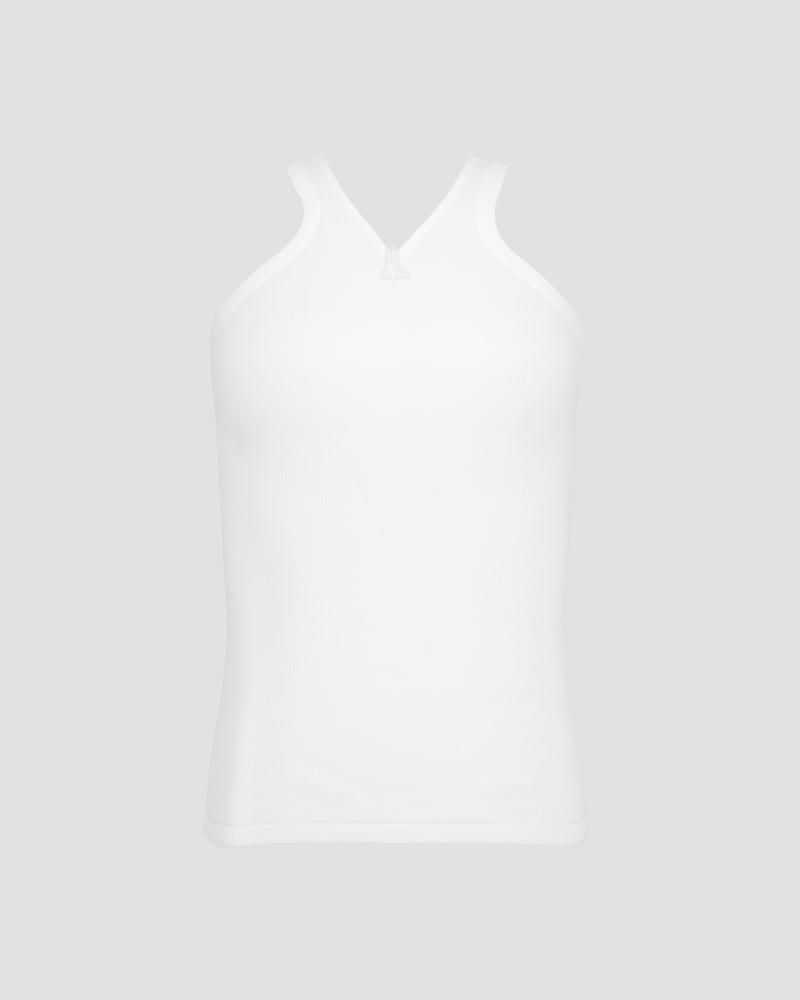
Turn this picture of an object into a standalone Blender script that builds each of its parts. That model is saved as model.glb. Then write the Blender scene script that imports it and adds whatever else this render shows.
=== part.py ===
"""Ribbed tank top, modelled as it is worn: a front, a back, a bound neck, two bound armholes and a neck ribbon.

Metres, +Z up. The front faces -Y, and +X is the wearer's left. The origin lies between the two straps,
at the crest of the shoulders, where the wearer carries the garment.

Every piece is placed on one cloth map. A place on it is a pair: `across`, the distance along the cloth from
the centre line, and `down`, the distance along the cloth from the shoulder line, positive on the front and
negative on the back. `place` turns such pairs into points in space.
"""

import bmesh
import bpy
import numpy as np
from mathutils.geometry import delaunay_2d_cdt

OBJECT_NAME = "ribbed_tank_top"

# Cloth, in metres
WALL = 0.0012  # one layer of rib knit, with its ribs pressed flat
RIB_HEIGHT = 0.00035
RIBS_PER_PANEL = 62  # each stands for two of the knit's own ribs
SEAM_GAP = 0.0003  # between two pieces that are sewn together
HEM_TURN_UP = 0.0165  # height of the hem's fold
HEM_DENT = 0.0003  # how far the hem's stitches pull the cloth in

# Bindings, in metres
NECK_BAND = 0.0075
ARMHOLE_BAND = 0.0155
BAND_THICKNESS = 0.0024  # two layers
BAND_PROUD = 0.0006  # its outer face above the panel's cloth
BAND_ROUND = 0.12  # share of the band's width that its folded edge takes to round off
STATION_STEP = 0.0080  # between two rings of points along a band

# The worn shape, in metres
SECTION_POWER = 2.4  # 2 would make each level an ellipse
SHOULDER_FALL = 0.27  # how fast the shoulder line falls outwards
SHOULDER_START = 0.055  # from the centre, where it starts to fall
SHOULDER_EASE = 0.010
SHOULDER_FADE = 0.150  # below the crest, where the fall no longer shows
SIDE_DROP = 0.0045  # how much lower the hem hangs at the side seams
SIDE_DROP_START = -0.450
BUST_PROUD = 0.018
BUST_ROW = 7  # the row of SECTIONS whose girth the ribs are spaced on

SECTIONS = np.array(
    [
        (0.000, 0.1550, 0.000, 0.000),
        (-0.004, 0.1550, 0.022, 0.022),
        (-0.016, 0.1550, 0.044, 0.046),
        (-0.038, 0.1552, 0.064, 0.069),
        (-0.070, 0.1556, 0.083, 0.087),
        (-0.105, 0.1560, 0.100, 0.098),
        (-0.140, 0.1563, 0.112, 0.103),
        (-0.175, 0.1563, 0.116, 0.102),
        (-0.225, 0.1520, 0.111, 0.097),
        (-0.270, 0.1493, 0.106, 0.092),
        (-0.340, 0.1457, 0.102, 0.087),
        (-0.400, 0.1425, 0.102, 0.089),
        (-0.450, 0.1470, 0.106, 0.097),
        (-0.500, 0.1550, 0.109, 0.105),
        (-0.570, 0.1624, 0.109, 0.111),
    ],
    dtype=[("level", float), ("half_width", float), ("front", float), ("back", float)],
)

HEM_LEVEL = float(SECTIONS["level"][-1])

BUST_ACROSS = np.array(
    [(0.00, 0.62), (0.25, 0.80), (0.50, 1.00), (0.68, 0.84), (0.86, 0.34), (1.00, 0.00)],
    dtype=[("share_of_width", float), ("fullness", float)],
)

BUST_DOWN = np.array(
    [(-0.080, 0.00), (-0.120, 0.30), (-0.155, 0.78), (-0.182, 1.00), (-0.210, 0.86), (-0.242, 0.42), (-0.285, 0.00)],
    dtype=[("level", float), ("fullness", float)],
)

# Finished edges of the wearer's left half, in metres: along the cloth from the centre line, and the level
# below the shoulder line. The right half mirrors them.
EDGE_ROW = [("across", float), ("level", float)]
NECK_FRONT = np.array(
    [(0.0042, -0.0847), (0.0158, -0.0700), (0.0300, -0.0535), (0.0440, -0.0345), (0.0550, -0.0148), (0.0645, 0.0)],
    dtype=EDGE_ROW,
)
NECK_BACK = np.array(
    [(0.0645, 0.0), (0.0600, -0.0300), (0.0470, -0.0600), (0.0250, -0.0790), (0.0, -0.0850)],
    dtype=EDGE_ROW,
)
ARMHOLE = np.array(
    [
        (0.0975, 0.0),
        (0.0905, -0.0200),
        (0.0825, -0.0400),
        (0.0813, -0.0520),
        (0.0850, -0.0660),
        (0.0957, -0.0790),
        (0.1165, -0.0935),
        (0.1370, -0.1085),
        (0.1595, -0.1245),
        (0.1825, -0.1390),
        (0.2030, -0.1470),
        (0.2222, -0.1492),
    ],
    dtype=EDGE_ROW,
)

# Levels of the rows of points in a panel, in metres, from the hem's fold upwards
ROW_LEVELS = np.array(
    [-0.551, -0.515, -0.472, -0.432, -0.397, -0.352, -0.306, -0.270, -0.242, -0.218, -0.197]
    + [-0.178, -0.158, -0.135, -0.112, -0.090, -0.069, -0.050, -0.033, -0.019, -0.009]
)
STITCH_LEVEL = HEM_LEVEL + HEM_TURN_UP
FOLD_LEVEL = STITCH_LEVEL - 0.0025
ALL_ROW_LEVELS = np.concatenate([[FOLD_LEVEL, STITCH_LEVEL], ROW_LEVELS])
ON_THIS_SIDE = 1e-6  # a shoulder seam's points lie this far down their own side
EDGE_CLEARANCE = 0.0032  # between a panel's outline and its nearest inner point
ROW_CLEARANCE = 0.0050  # between two points of one column
INNER_COLUMN_STEP = 4  # the plain inner wall keeps one column in this many

# Neck ribbon, in metres
RIBBON_THICKNESS = 0.0010
RIBBON_LIFT = 0.0014  # the middle of the ribbon's cloth above the panel's
RIBBON_STEPS = 6
TAIL_TOP = 0.0008  # below the point of the neck
TAIL_LENGTH = 0.0222
TAIL_OFFSET = (0.00295, 0.0074)  # the middle of a tail from the centre line, at its top and at its end
TAIL_WIDTH = (0.0056, 0.0080)
MIDDLE_TOP = 0.0132
MIDDLE_LENGTH = 0.0145
MIDDLE_WIDTH = (0.0032, 0.0028)
WRAP_WIDTH = (0.0030, 0.0030)

WRAP_PATH = np.array(
    [
        (0.0060, 0.0027),
        (0.0030, 0.0028),
        (0.0002, 0.0026),
        (-0.0014, 0.0017),
        (-0.0020, -0.0004),
        (-0.0012, -0.0021),
        (0.0010, -0.0026),
        (0.0060, -0.0026),
    ],
    dtype=[("below_edge", float), ("lift", float)],
)

RIB_WHITE = (0.90, 0.90, 0.89)
BAND_WHITE = (0.92, 0.92, 0.91)
RIBBON_WHITE = (0.86, 0.86, 0.85)


# ---------------------------------------------------------------- curves


def mixed(first, last, start, end, t):
    """The value at t on the line from `first` at `start` to `last` at `end`."""
    return (first * (end - t) + last * (t - start)) / (end - start)


def smooth_through(rows, before=None, after=None, steps=24):
    """Points on a Catmull-Rom curve through `rows`. `before` and `after` steer its two ends."""
    rows = np.asarray(rows, float)
    before = 2 * rows[0] - rows[1] if before is None else before
    after = 2 * rows[-1] - rows[-2] if after is None else after
    knots = np.vstack([before, rows, after])
    at = np.concatenate([[0.0], np.cumsum(np.sqrt(np.linalg.norm(np.diff(knots, axis=0), axis=1)))])
    curve = []
    for i in range(1, len(knots) - 2):
        p0, p1, p2, p3 = knots[i - 1 : i + 3]
        t0, t1, t2, t3 = at[i - 1 : i + 3]
        t = np.linspace(t1, t2, steps, endpoint=False)[:, None]
        early, middle, late = mixed(p0, p1, t0, t1, t), mixed(p1, p2, t1, t2, t), mixed(p2, p3, t2, t3, t)
        curve.append(mixed(mixed(early, middle, t0, t2, t), mixed(middle, late, t1, t3, t), t1, t2, t))
    return np.vstack(curve + [rows[-1:]])


def length_along(curve):
    """Distance along a curve from its first point, for each of its points."""
    return np.concatenate([[0.0], np.cumsum(np.linalg.norm(np.diff(curve, axis=0), axis=1))])


def evenly_spaced(curve, step):
    """The curve read again at even distances of about `step`."""
    run = length_along(curve)
    at = np.linspace(0.0, run[-1], max(2, round(run[-1] / step) + 1))
    return np.column_stack([np.interp(at, run, curve[:, k]) for k in range(curve.shape[1])])


def table_curve(table, first, second):
    """A smooth function through two columns of a table, as two rising lists for np.interp."""
    curve = smooth_through(np.column_stack([table[first], table[second]]))
    order = np.argsort(curve[:, 0])
    return curve[order, 0], curve[order, 1]


# ---------------------------------------------------------------- the cloth map


def side_profile(depth_column):
    """One side's cloth from the crest down: its run along the cloth, level, half width and depth."""
    rows = np.column_stack([SECTIONS["level"], SECTIONS["half_width"], SECTIONS[depth_column]])
    over_the_crest = rows[1] * np.array([1.0, 1.0, -1.0])
    level, half_width, depth = smooth_through(rows, before=over_the_crest, steps=40).T
    return length_along(np.column_stack([level, depth])), level, half_width, depth


def girth_profile():
    """At bust level: distance along the cloth from the centre line, and the share of the half width there."""
    row = SECTIONS[BUST_ROW]
    angle = np.linspace(0.0, np.pi / 2, 2001)
    share = np.sin(angle) ** (2 / SECTION_POWER)
    out = np.cos(angle) ** (2 / SECTION_POWER)
    return length_along(np.column_stack([share * row["half_width"], out * row["front"]])), share


FRONT_PROFILE = side_profile("front")
BACK_PROFILE = side_profile("back")
GIRTH, SHARE = girth_profile()
HALF_PANEL = GIRTH[-1]  # cloth from the centre line to the side seam
BUST_SHARE, BUST_SHARE_FULLNESS = table_curve(BUST_ACROSS, "share_of_width", "fullness")
BUST_LEVEL, BUST_LEVEL_FULLNESS = table_curve(BUST_DOWN, "level", "fullness")


def run_at(level, front=True):
    """The distance along the cloth from the shoulder line to a level, on the front or the back."""
    run, levels = (FRONT_PROFILE if front else BACK_PROFILE)[:2]
    return np.interp(-np.asarray(level), -levels, run)


def place(across, down):
    """Points in space for pairs of the cloth map."""
    across, down = np.broadcast_arrays(np.asarray(across, float), np.asarray(down, float))
    on_front = down >= 0
    level, half_width, depth = (
        np.where(on_front, *(np.interp(np.abs(down), side[0], side[k]) for side in (FRONT_PROFILE, BACK_PROFILE)))
        for k in (1, 2, 3)
    )
    share = np.interp(np.abs(across), GIRTH, SHARE)
    x = half_width * share
    out = depth * (1 - share**SECTION_POWER) ** (1 / SECTION_POWER)
    full = np.interp(share, BUST_SHARE, BUST_SHARE_FULLNESS) * np.interp(level, BUST_LEVEL, BUST_LEVEL_FULLNESS)
    out = out + np.where(on_front, BUST_PROUD * full, 0.0)
    beyond = np.maximum(x - SHOULDER_START, 0.0)
    fade = np.clip(1 + level / SHOULDER_FADE, 0.0, 1.0)
    fall = SHOULDER_FALL * beyond**2 / (beyond + SHOULDER_EASE) * fade**2 * (3 - 2 * fade)
    y = -np.sign(down) * (out + SEAM_GAP / 2)
    low = np.clip((SIDE_DROP_START - level) / (SIDE_DROP_START - HEM_LEVEL), 0.0, 1.0)
    drop = SIDE_DROP * share**4 * low**2
    return np.stack([x * np.sign(across), y, level - fall - drop], axis=-1)


def outward(across, down, reach=0.0015):
    """The cloth's outward direction at pairs of the map, read over a short reach on each side of them."""
    across, down = np.broadcast_arrays(np.asarray(across, float), np.asarray(down, float))
    left = np.clip(across - reach, -HALF_PANEL, HALF_PANEL)
    right = np.clip(across + reach, -HALF_PANEL, HALF_PANEL)
    side = np.where(down < 0, -1.0, 1.0)
    nearer = side * np.maximum(np.abs(down) - reach, 1e-6)
    further = side * (np.abs(down) + reach)
    along_width = place(right, down) - place(left, down)
    along_length = place(across, further) - place(across, nearer)
    normal = np.cross(along_length, along_width) * side[..., None]
    on_crest = down == 0
    normal[on_crest] = np.cross(np.array([0.0, -1.0, 0.0]), along_width[on_crest])
    at_side = np.abs(across) >= HALF_PANEL - 1e-9
    normal[at_side, 1] = 0.0
    return normal / np.linalg.norm(normal, axis=-1, keepdims=True)


def lifted(pairs, lift):
    """Points at a height above the cloth, over the pairs of the map."""
    pairs = np.asarray(pairs, float)
    return place(pairs[:, 0], pairs[:, 1]) + outward(pairs[:, 0], pairs[:, 1]) * np.reshape(lift, (-1, 1))


# ---------------------------------------------------------------- edges and seams


def on_cloth(table, front=True):
    """A table of edge points as pairs of the cloth map."""
    run = run_at(table["level"], front)
    return np.column_stack([table["across"], run if front else -run])


def moved_aside(line, distance):
    """An open line moved to the left of its direction, with its corners mitred."""
    steps = np.diff(line, axis=0)
    steps = steps / np.linalg.norm(steps, axis=1, keepdims=True)
    before = np.vstack([steps[:1], steps])
    after = np.vstack([steps, steps[-1:]])
    middle = before + after
    middle = middle / np.linalg.norm(middle, axis=1, keepdims=True)
    stretch = 1 / np.sum(middle * after, axis=1, keepdims=True)
    return line + np.column_stack([-middle[:, 1], middle[:, 0]]) * distance * stretch


def neck_lines():
    """The neck's finished edge and its seam, from centre front over the left shoulder to centre back."""
    front = evenly_spaced(smooth_through(on_cloth(NECK_FRONT)), STATION_STEP)
    back_rows = on_cloth(NECK_BACK, front=False)
    back = evenly_spaced(smooth_through(back_rows, after=back_rows[-2] * np.array([-1.0, 1.0])), STATION_STEP)
    centre = np.array([[0.0, front[0, 1]]])
    edge = np.vstack([centre, front, back[1:]])
    seam = moved_aside(edge, NECK_BAND)
    seam[[0, -1], 0] = 0.0
    crest = len(front)
    seam[crest, 1] = 0.0
    return edge, seam, crest


def armhole_lines():
    """The left armhole's finished edge and its seam, from the front's side seam over the shoulder to the back's."""
    lines = []
    for front in (True, False):
        rows = on_cloth(ARMHOLE, front)
        over_the_crest = rows[1] * np.array([1.0, -1.0])
        past_the_side = np.array([2 * HALF_PANEL - rows[-2, 0], rows[-2, 1]])
        lines.append(evenly_spaced(smooth_through(rows, over_the_crest, past_the_side), STATION_STEP))
    edge = np.vstack([lines[0][::-1], lines[1][1:]])
    edge[[0, -1], 0] = HALF_PANEL
    seam = moved_aside(edge, -ARMHOLE_BAND)
    seam[[0, -1], 0] = HALF_PANEL
    crest = len(lines[0]) - 1
    seam[crest, 1] = 0.0
    return edge, seam, crest


# ---------------------------------------------------------------- meshes


def finish(mesh_name, points, faces, material, collection):
    """An object with its own mesh, with the normals turned outwards."""
    mesh = bpy.data.meshes.new(mesh_name)
    mesh.from_pydata([tuple(p) for p in points], [], [tuple(int(i) for i in f) for f in faces])
    shape = bmesh.new()
    shape.from_mesh(mesh)
    bmesh.ops.recalc_face_normals(shape, faces=shape.faces)
    shape.to_mesh(mesh)
    shape.free()
    mesh.shade_smooth()
    mesh.set_sharp_from_angle(angle=np.radians(40))
    mesh.materials.append(material)
    made = bpy.data.objects.new(mesh_name, mesh)
    collection.objects.link(made)
    return made


def cloth_material(name, colour, roughness):
    """A matt white cloth."""
    material = bpy.data.materials.new(name)
    material.use_nodes = True
    shader = material.node_tree.nodes["Principled BSDF"]
    shader.inputs["Base Color"].default_value = (*colour, 1.0)
    shader.inputs["Roughness"].default_value = roughness
    shader.inputs["Metallic"].default_value = 0.0
    return material


def panel_outline(front):
    """A panel's outline on the cloth map, as a loop of pairs from the centre of its hem."""
    side = 1 if front else -1
    _, neck, neck_crest = neck_lines()
    _, arm, arm_crest = armhole_lines()
    neck = neck[: neck_crest + 1] if front else neck[neck_crest:][::-1]
    arm = arm[: arm_crest + 1] if front else arm[arm_crest:][::-1]
    shoulder = np.linspace(neck[-1], arm[-1], 4)[1:-1]
    underarm_level = np.interp(abs(arm[0, 1]), *(FRONT_PROFILE if front else BACK_PROFILE)[:2])
    levels = ALL_ROW_LEVELS[ALL_ROW_LEVELS < underarm_level - ROW_CLEARANCE]
    side_seam = np.column_stack([np.full(len(levels), HALF_PANEL), side * run_at(levels, front)])
    columns = np.linspace(-HALF_PANEL, HALF_PANEL, 2 * RIBS_PER_PANEL + 1)
    hem_columns = columns[columns > -1e-9]
    hem = np.column_stack([hem_columns, np.full(len(hem_columns), side * run_at(HEM_LEVEL, front))])
    right_half = np.vstack([hem, side_seam, arm, shoulder[::-1], neck[::-1]])
    left_half = right_half[1:-1][::-1] * np.array([-1.0, 1.0])
    loop = np.vstack([right_half, left_half])
    loop[:, 1] = side * np.maximum(np.abs(loop[:, 1]), ON_THIS_SIDE)
    return loop


def inside(loop, points):
    """Which of the points lie in the loop."""
    start, end = loop, np.roll(loop, -1, axis=0)
    px, py = points[:, :1], points[:, 1:]
    rises = (start[:, 1] > py) != (end[:, 1] > py)
    slope = (end[:, 0] - start[:, 0]) / np.where(end[:, 1] == start[:, 1], 1e-12, end[:, 1] - start[:, 1])
    crossing = start[:, 0] + (py - start[:, 1]) * slope
    return np.sum(rises & (px < crossing), axis=1) % 2 == 1


def clear_of(loop, points, distance):
    """Which of the points are at least this far from the loop."""
    start, end = loop, np.roll(loop, -1, axis=0)
    span = end - start
    share = np.einsum("pkc,kc->pk", points[:, None] - start, span) / np.sum(span**2, axis=1)
    foot = start + np.clip(share, 0, 1)[..., None] * span
    return np.min(np.linalg.norm(points[:, None] - foot, axis=2), axis=1) >= distance


def column_points(loop, across, rows, ends, clearance):
    """The stretches of one column inside the outline, each as a list of pairs. `ends` adds their end points."""
    low, high = np.min(loop[:, 1]), np.max(loop[:, 1])
    fine = np.arange(low, high, 0.0008)
    pairs = np.column_stack([np.full(len(fine), across), fine])
    good = inside(loop, pairs)
    good[good] = clear_of(loop, pairs[good], clearance)
    stretches = []
    turns = np.flatnonzero(np.diff(np.concatenate([[0], good.astype(int), [0]])))
    for first, last in zip(turns[::2], turns[1::2] - 1):
        top, bottom = sorted((fine[first], fine[last]), key=abs)
        kept = [r for r in rows if abs(top) <= abs(r) <= abs(bottom)]
        if ends:
            kept = [top] + [r for r in kept if abs(r) >= abs(top) + ROW_CLEARANCE]
        stretches.append([(across, r) for r in kept])
    return [s for s in stretches if s]


def sheet(loop, columns, rows, ends, clearance):
    """Pairs and triangles that fill an outline, the outline's own points first."""
    points = [tuple(p) for p in loop]
    edges = [(i, (i + 1) % len(loop)) for i in range(len(loop))]
    for across in columns:
        for stretch in column_points(loop, across, rows, ends, clearance):
            first = len(points)
            points += stretch
            edges += [(i, i + 1) for i in range(first, len(points) - 1)]
    made, _, faces, *_ = delaunay_2d_cdt(points, edges, [], 1, 1e-7)
    assert len(made) == len(points), "two points of a panel's sheet lie on each other"
    return np.array(points), faces


def rib_lift(pairs, on_outline, stitch_run):
    """How far the ribs and the hem's stitches move each outer point."""
    pitch = 2 * HALF_PANEL / RIBS_PER_PANEL
    wave = 0.5 - 0.5 * np.cos(2 * np.pi * (pairs[:, 0] + HALF_PANEL) / pitch)
    lift = RIB_HEIGHT * wave
    lift[on_outline] = 0.0
    lift[np.abs(np.abs(pairs[:, 1]) - stitch_run) < 1e-6] -= HEM_DENT
    return lift


def build_panel(name, front, material, collection):
    """One panel: a ribbed outer face over a plain inner one, thicker where the hem is turned up."""
    side = 1 if front else -1
    loop = panel_outline(front)
    columns = np.linspace(-HALF_PANEL, HALF_PANEL, 2 * RIBS_PER_PANEL + 1)[1:-1]
    rows = sorted(side * run_at(ALL_ROW_LEVELS, front), key=abs)
    outer, outer_faces = sheet(loop, columns, rows, True, EDGE_CLEARANCE)
    inner, inner_faces = sheet(loop, columns[INNER_COLUMN_STEP - 1 :: INNER_COLUMN_STEP], rows, False, 2 * EDGE_CLEARANCE)
    count = len(loop)
    hem_run, fold_run = run_at(HEM_LEVEL, front), run_at(FOLD_LEVEL, front)
    pressed = np.arange(len(outer)) < count
    pressed &= np.abs(outer[:, 1]) < hem_run - 1e-6
    outer_points = lifted(outer, rib_lift(outer, pressed, run_at(STITCH_LEVEL, front)))
    layers = np.where(np.abs(inner[:, 1]) >= fold_run - 1e-6, 2, 1)
    inner_points = lifted(inner, -WALL * layers)
    points = np.vstack([outer_points, inner_points])
    faces = [tuple(f) for f in outer_faces]
    faces += [tuple(i + len(outer) for i in reversed(f)) for f in inner_faces]
    for i in range(count):
        j = (i + 1) % count
        faces.append((i, j, j + len(outer), i + len(outer)))
    return finish(name, points, faces, material, collection)


def band_rings(edge, seam):
    """The rings of points round a folded band, one for each station along it."""
    gap = SEAM_GAP / np.linalg.norm(edge - seam, axis=1, keepdims=True)
    start = seam + (edge - seam) * gap
    rounded = edge + (seam - edge) * BAND_ROUND
    middle = (start + rounded) / 2
    low = BAND_PROUD - BAND_THICKNESS
    halfway = (BAND_PROUD + low) / 2
    ring = [(start, BAND_PROUD), (middle, BAND_PROUD), (rounded, BAND_PROUD), (edge, halfway)]
    ring += [(rounded, low), (middle, low), (start, low)]
    return np.stack([lifted(pairs, lift) for pairs, lift in ring], axis=1)


def build_ring(name, rings, material, collection):
    """A closed band through rings of points."""
    stations, around = rings.shape[:2]
    points = rings.reshape(-1, 3)
    faces = []
    for s in range(stations):
        for k in range(around):
            a, b = s * around + k, s * around + (k + 1) % around
            c, d = (s + 1) % stations * around + (k + 1) % around, (s + 1) % stations * around + k
            faces.append((a, b, c, d))
    return finish(name, points, faces, material, collection)


def build_neck_band(material, collection):
    """The neck's binding, a closed ring over both shoulders."""
    edge, seam, crest = neck_lines()
    left = band_rings(edge, seam)
    left[crest, :, 1] = 0.0
    mirrored = left[1:-1][::-1] * np.array([-1.0, 1.0, 1.0])
    return build_ring("neck_binding", np.vstack([left, mirrored]), material, collection)


def build_armhole_band(name, mirror, material, collection):
    """One armhole's binding, a closed ring from under the arm over the shoulder."""
    edge, seam, crest = armhole_lines()
    rings = band_rings(edge, seam)
    rings[crest, :, 1] = 0.0
    rings = rings[:-1]
    rings[0, :, 1] = 0.0
    return build_ring(name, rings * np.array([mirror, 1.0, 1.0]), material, collection)


def build_strip(name, centre, widths, material, collection):
    """A flat ribbon along a line of points, widened along X from its first width to its last."""
    half = np.zeros((len(centre), 3))
    half[:, 0] = np.linspace(widths[0], widths[1], len(centre)) / 2
    points = np.vstack([centre - half, centre + half])
    count = len(centre)
    faces = [(i, i + 1, i + 1 + count, i + count) for i in range(count - 1)]
    strip = finish(name, points, faces, material, collection)
    solid = strip.modifiers.new("thickness", "SOLIDIFY")
    solid.thickness = RIBBON_THICKNESS
    solid.offset = 0.0
    return strip


def build_ribbon(material, collection):
    """The neck ribbon: two tails and a short middle end, and the wrap that holds them round the neck's point."""
    point = neck_lines()[0][0, 1]
    share = np.linspace(0.0, 1.0, RIBBON_STEPS + 1)
    for name, mirror in (("ribbon_tail_left", 1), ("ribbon_tail_right", -1)):
        across = mirror * mixed(TAIL_OFFSET[0], TAIL_OFFSET[1], 0, 1, share)
        tail = lifted(np.column_stack([across, point + TAIL_TOP + TAIL_LENGTH * share]), RIBBON_LIFT)
        build_strip(name, tail, TAIL_WIDTH, material, collection)
    middle = lifted(np.column_stack([0 * share, point + MIDDLE_TOP + MIDDLE_LENGTH * share]), RIBBON_LIFT)
    build_strip("ribbon_end_middle", middle, MIDDLE_WIDTH, material, collection)
    path = smooth_through(np.column_stack([WRAP_PATH["below_edge"], WRAP_PATH["lift"]]), steps=2)
    on_panel = np.column_stack([np.zeros(len(path)), point + np.maximum(path[:, 0], 0.0)])
    above_edge = np.column_stack([np.zeros((len(path), 2)), np.maximum(-path[:, 0], 0.0)])
    wrap = lifted(on_panel, path[:, 1]) + above_edge
    build_strip("ribbon_wrap", wrap, WRAP_WIDTH, material, collection)


def main():
    """Builds every piece of the garment in its own collection."""
    for old in list(bpy.data.objects):
        bpy.data.objects.remove(old, do_unlink=True)
    collection = bpy.data.collections.new(OBJECT_NAME)
    bpy.context.scene.collection.children.link(collection)
    rib = cloth_material("rib_knit", RIB_WHITE, 0.92)
    band = cloth_material("rib_band", BAND_WHITE, 0.90)
    ribbon = cloth_material("ribbon", RIBBON_WHITE, 0.60)
    build_panel("front", True, rib, collection)
    build_panel("back", False, rib, collection)
    build_neck_band(band, collection)
    build_armhole_band("armhole_binding_left", 1.0, band, collection)
    build_armhole_band("armhole_binding_right", -1.0, band, collection)
    build_ribbon(ribbon, collection)


main()
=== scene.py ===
import logging
from dataclasses import dataclass, field
from enum import Enum

import bmesh
import bpy
import numpy as np
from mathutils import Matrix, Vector
from mathutils.geometry import delaunay_2d_cdt
from mathutils.kdtree import KDTree
from numpy.typing import NDArray


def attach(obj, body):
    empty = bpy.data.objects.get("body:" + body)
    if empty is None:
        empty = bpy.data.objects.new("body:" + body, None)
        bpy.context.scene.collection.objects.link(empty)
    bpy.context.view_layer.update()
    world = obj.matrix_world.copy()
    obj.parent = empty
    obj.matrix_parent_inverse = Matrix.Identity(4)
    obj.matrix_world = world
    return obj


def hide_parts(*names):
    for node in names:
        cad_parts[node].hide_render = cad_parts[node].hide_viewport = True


# The looks of a ribbed tank top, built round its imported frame: two knit panels, folded bindings, a neck
# ribbon and the sewing. Metres, +Z up. The front faces -Y, and +X is the wearer's left.
#
# Cloth is placed on one map. A place on it is a pair: `across`, the distance along the cloth from the centre
# line, and `down`, the distance along the cloth from the shoulder line, positive on the front and negative
# on the back.

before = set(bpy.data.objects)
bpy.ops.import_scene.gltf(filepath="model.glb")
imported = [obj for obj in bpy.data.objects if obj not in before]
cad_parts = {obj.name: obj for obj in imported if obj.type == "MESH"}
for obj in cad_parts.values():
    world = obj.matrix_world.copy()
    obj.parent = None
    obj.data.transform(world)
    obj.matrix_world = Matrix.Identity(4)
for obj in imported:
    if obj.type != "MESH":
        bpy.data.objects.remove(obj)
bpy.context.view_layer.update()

LOG = logging.getLogger("tank_top")
BODY = "root"

# Distances in metres that count as none: from the shoulder line, from a side seam, and between two points.
OFF_CREST = 1e-6
OFF_SIDE = 1e-9
SAME_POINT = 1e-8

Array = NDArray[np.float64]
Table = NDArray[np.void]
Faces = list[tuple[int, ...]]
Pair = tuple[float, float]
Triple = tuple[float, float, float]
Piece = bpy.types.Object
Material = bpy.types.Material
Socket = bpy.types.NodeSocket


class Side(Enum):
    """Which half of the garment a panel is."""

    FRONT = 1
    BACK = -1


class Slot(Enum):
    """The record's material slots."""

    RIB_KNIT = "rib_knit"
    BINDING = "rib_binding"
    RIBBON = "ribbon"


# ---------------------------------------------------------------- the worn shape, in metres


def named_rows(columns: str, *rows: tuple[float, ...]) -> Table:
    """A table of rows under the names of its columns."""
    return np.array(list(rows), dtype=[(name, float) for name in columns.split()])


SECTIONS = named_rows(
    "level half_width front back",
    (0.000, 0.1550, 0.000, 0.000),
    (-0.004, 0.1550, 0.022, 0.022),
    (-0.016, 0.1550, 0.044, 0.046),
    (-0.038, 0.1552, 0.064, 0.069),
    (-0.070, 0.1556, 0.083, 0.087),
    (-0.105, 0.1560, 0.100, 0.098),
    (-0.140, 0.1563, 0.112, 0.103),
    (-0.175, 0.1563, 0.116, 0.102),
    (-0.225, 0.1520, 0.111, 0.097),
    (-0.270, 0.1493, 0.106, 0.092),
    (-0.340, 0.1457, 0.102, 0.087),
    (-0.400, 0.1425, 0.102, 0.089),
    (-0.450, 0.1470, 0.106, 0.097),
    (-0.500, 0.1550, 0.109, 0.105),
    (-0.570, 0.1624, 0.109, 0.111),
)

# How far the front stands out over the bust, as a share of its fullest: across the garment, and down it.
BUST_ACROSS = named_rows(
    "share_of_width fullness",
    *((0.00, 0.62), (0.25, 0.80), (0.50, 1.00), (0.70, 1.00), (0.87, 0.78), (1.00, 0.00)),
)
BUST_DOWN = named_rows(
    "level fullness",
    *((-0.080, 0.00), (-0.120, 0.30), (-0.155, 0.78), (-0.182, 1.00)),
    *((-0.210, 0.86), (-0.242, 0.42), (-0.285, 0.00)),
)

# Finished edges of the wearer's left half: along the cloth from the centre line, and the level below the
# shoulder line. The right half mirrors them.
EDGE_COLUMNS = "across level"
NECK_FRONT = named_rows(
    EDGE_COLUMNS,
    *((0.0042, -0.0847), (0.0158, -0.0700), (0.0300, -0.0535)),
    *((0.0440, -0.0345), (0.0550, -0.0148), (0.0645, 0.0)),
)
NECK_BACK = named_rows(
    EDGE_COLUMNS,
    *((0.0645, 0.0), (0.0600, -0.0300), (0.0470, -0.0600), (0.0250, -0.0790), (0.0, -0.0850)),
)
ARMHOLE = named_rows(
    EDGE_COLUMNS,
    *((0.0975, 0.0), (0.0905, -0.0200), (0.0825, -0.0400), (0.0813, -0.0520)),
    *((0.0850, -0.0660), (0.0957, -0.0790), (0.1165, -0.0935), (0.1370, -0.1085)),
    *((0.1595, -0.1245), (0.1825, -0.1390), (0.2030, -0.1470), (0.2222, -0.1492)),
)

# How the straps and the neck's point lean sideways: a shift that fades round a place.
LEAN = named_rows(
    "x level reach reach_down shift",
    (-0.0850, -0.0460, 0.0300, 0.0280, 0.0036),
    (0.0850, -0.0460, 0.0220, 0.0260, 0.0026),
    (0.0000, -0.0880, 0.0220, 0.0200, -0.0021),
)

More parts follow.
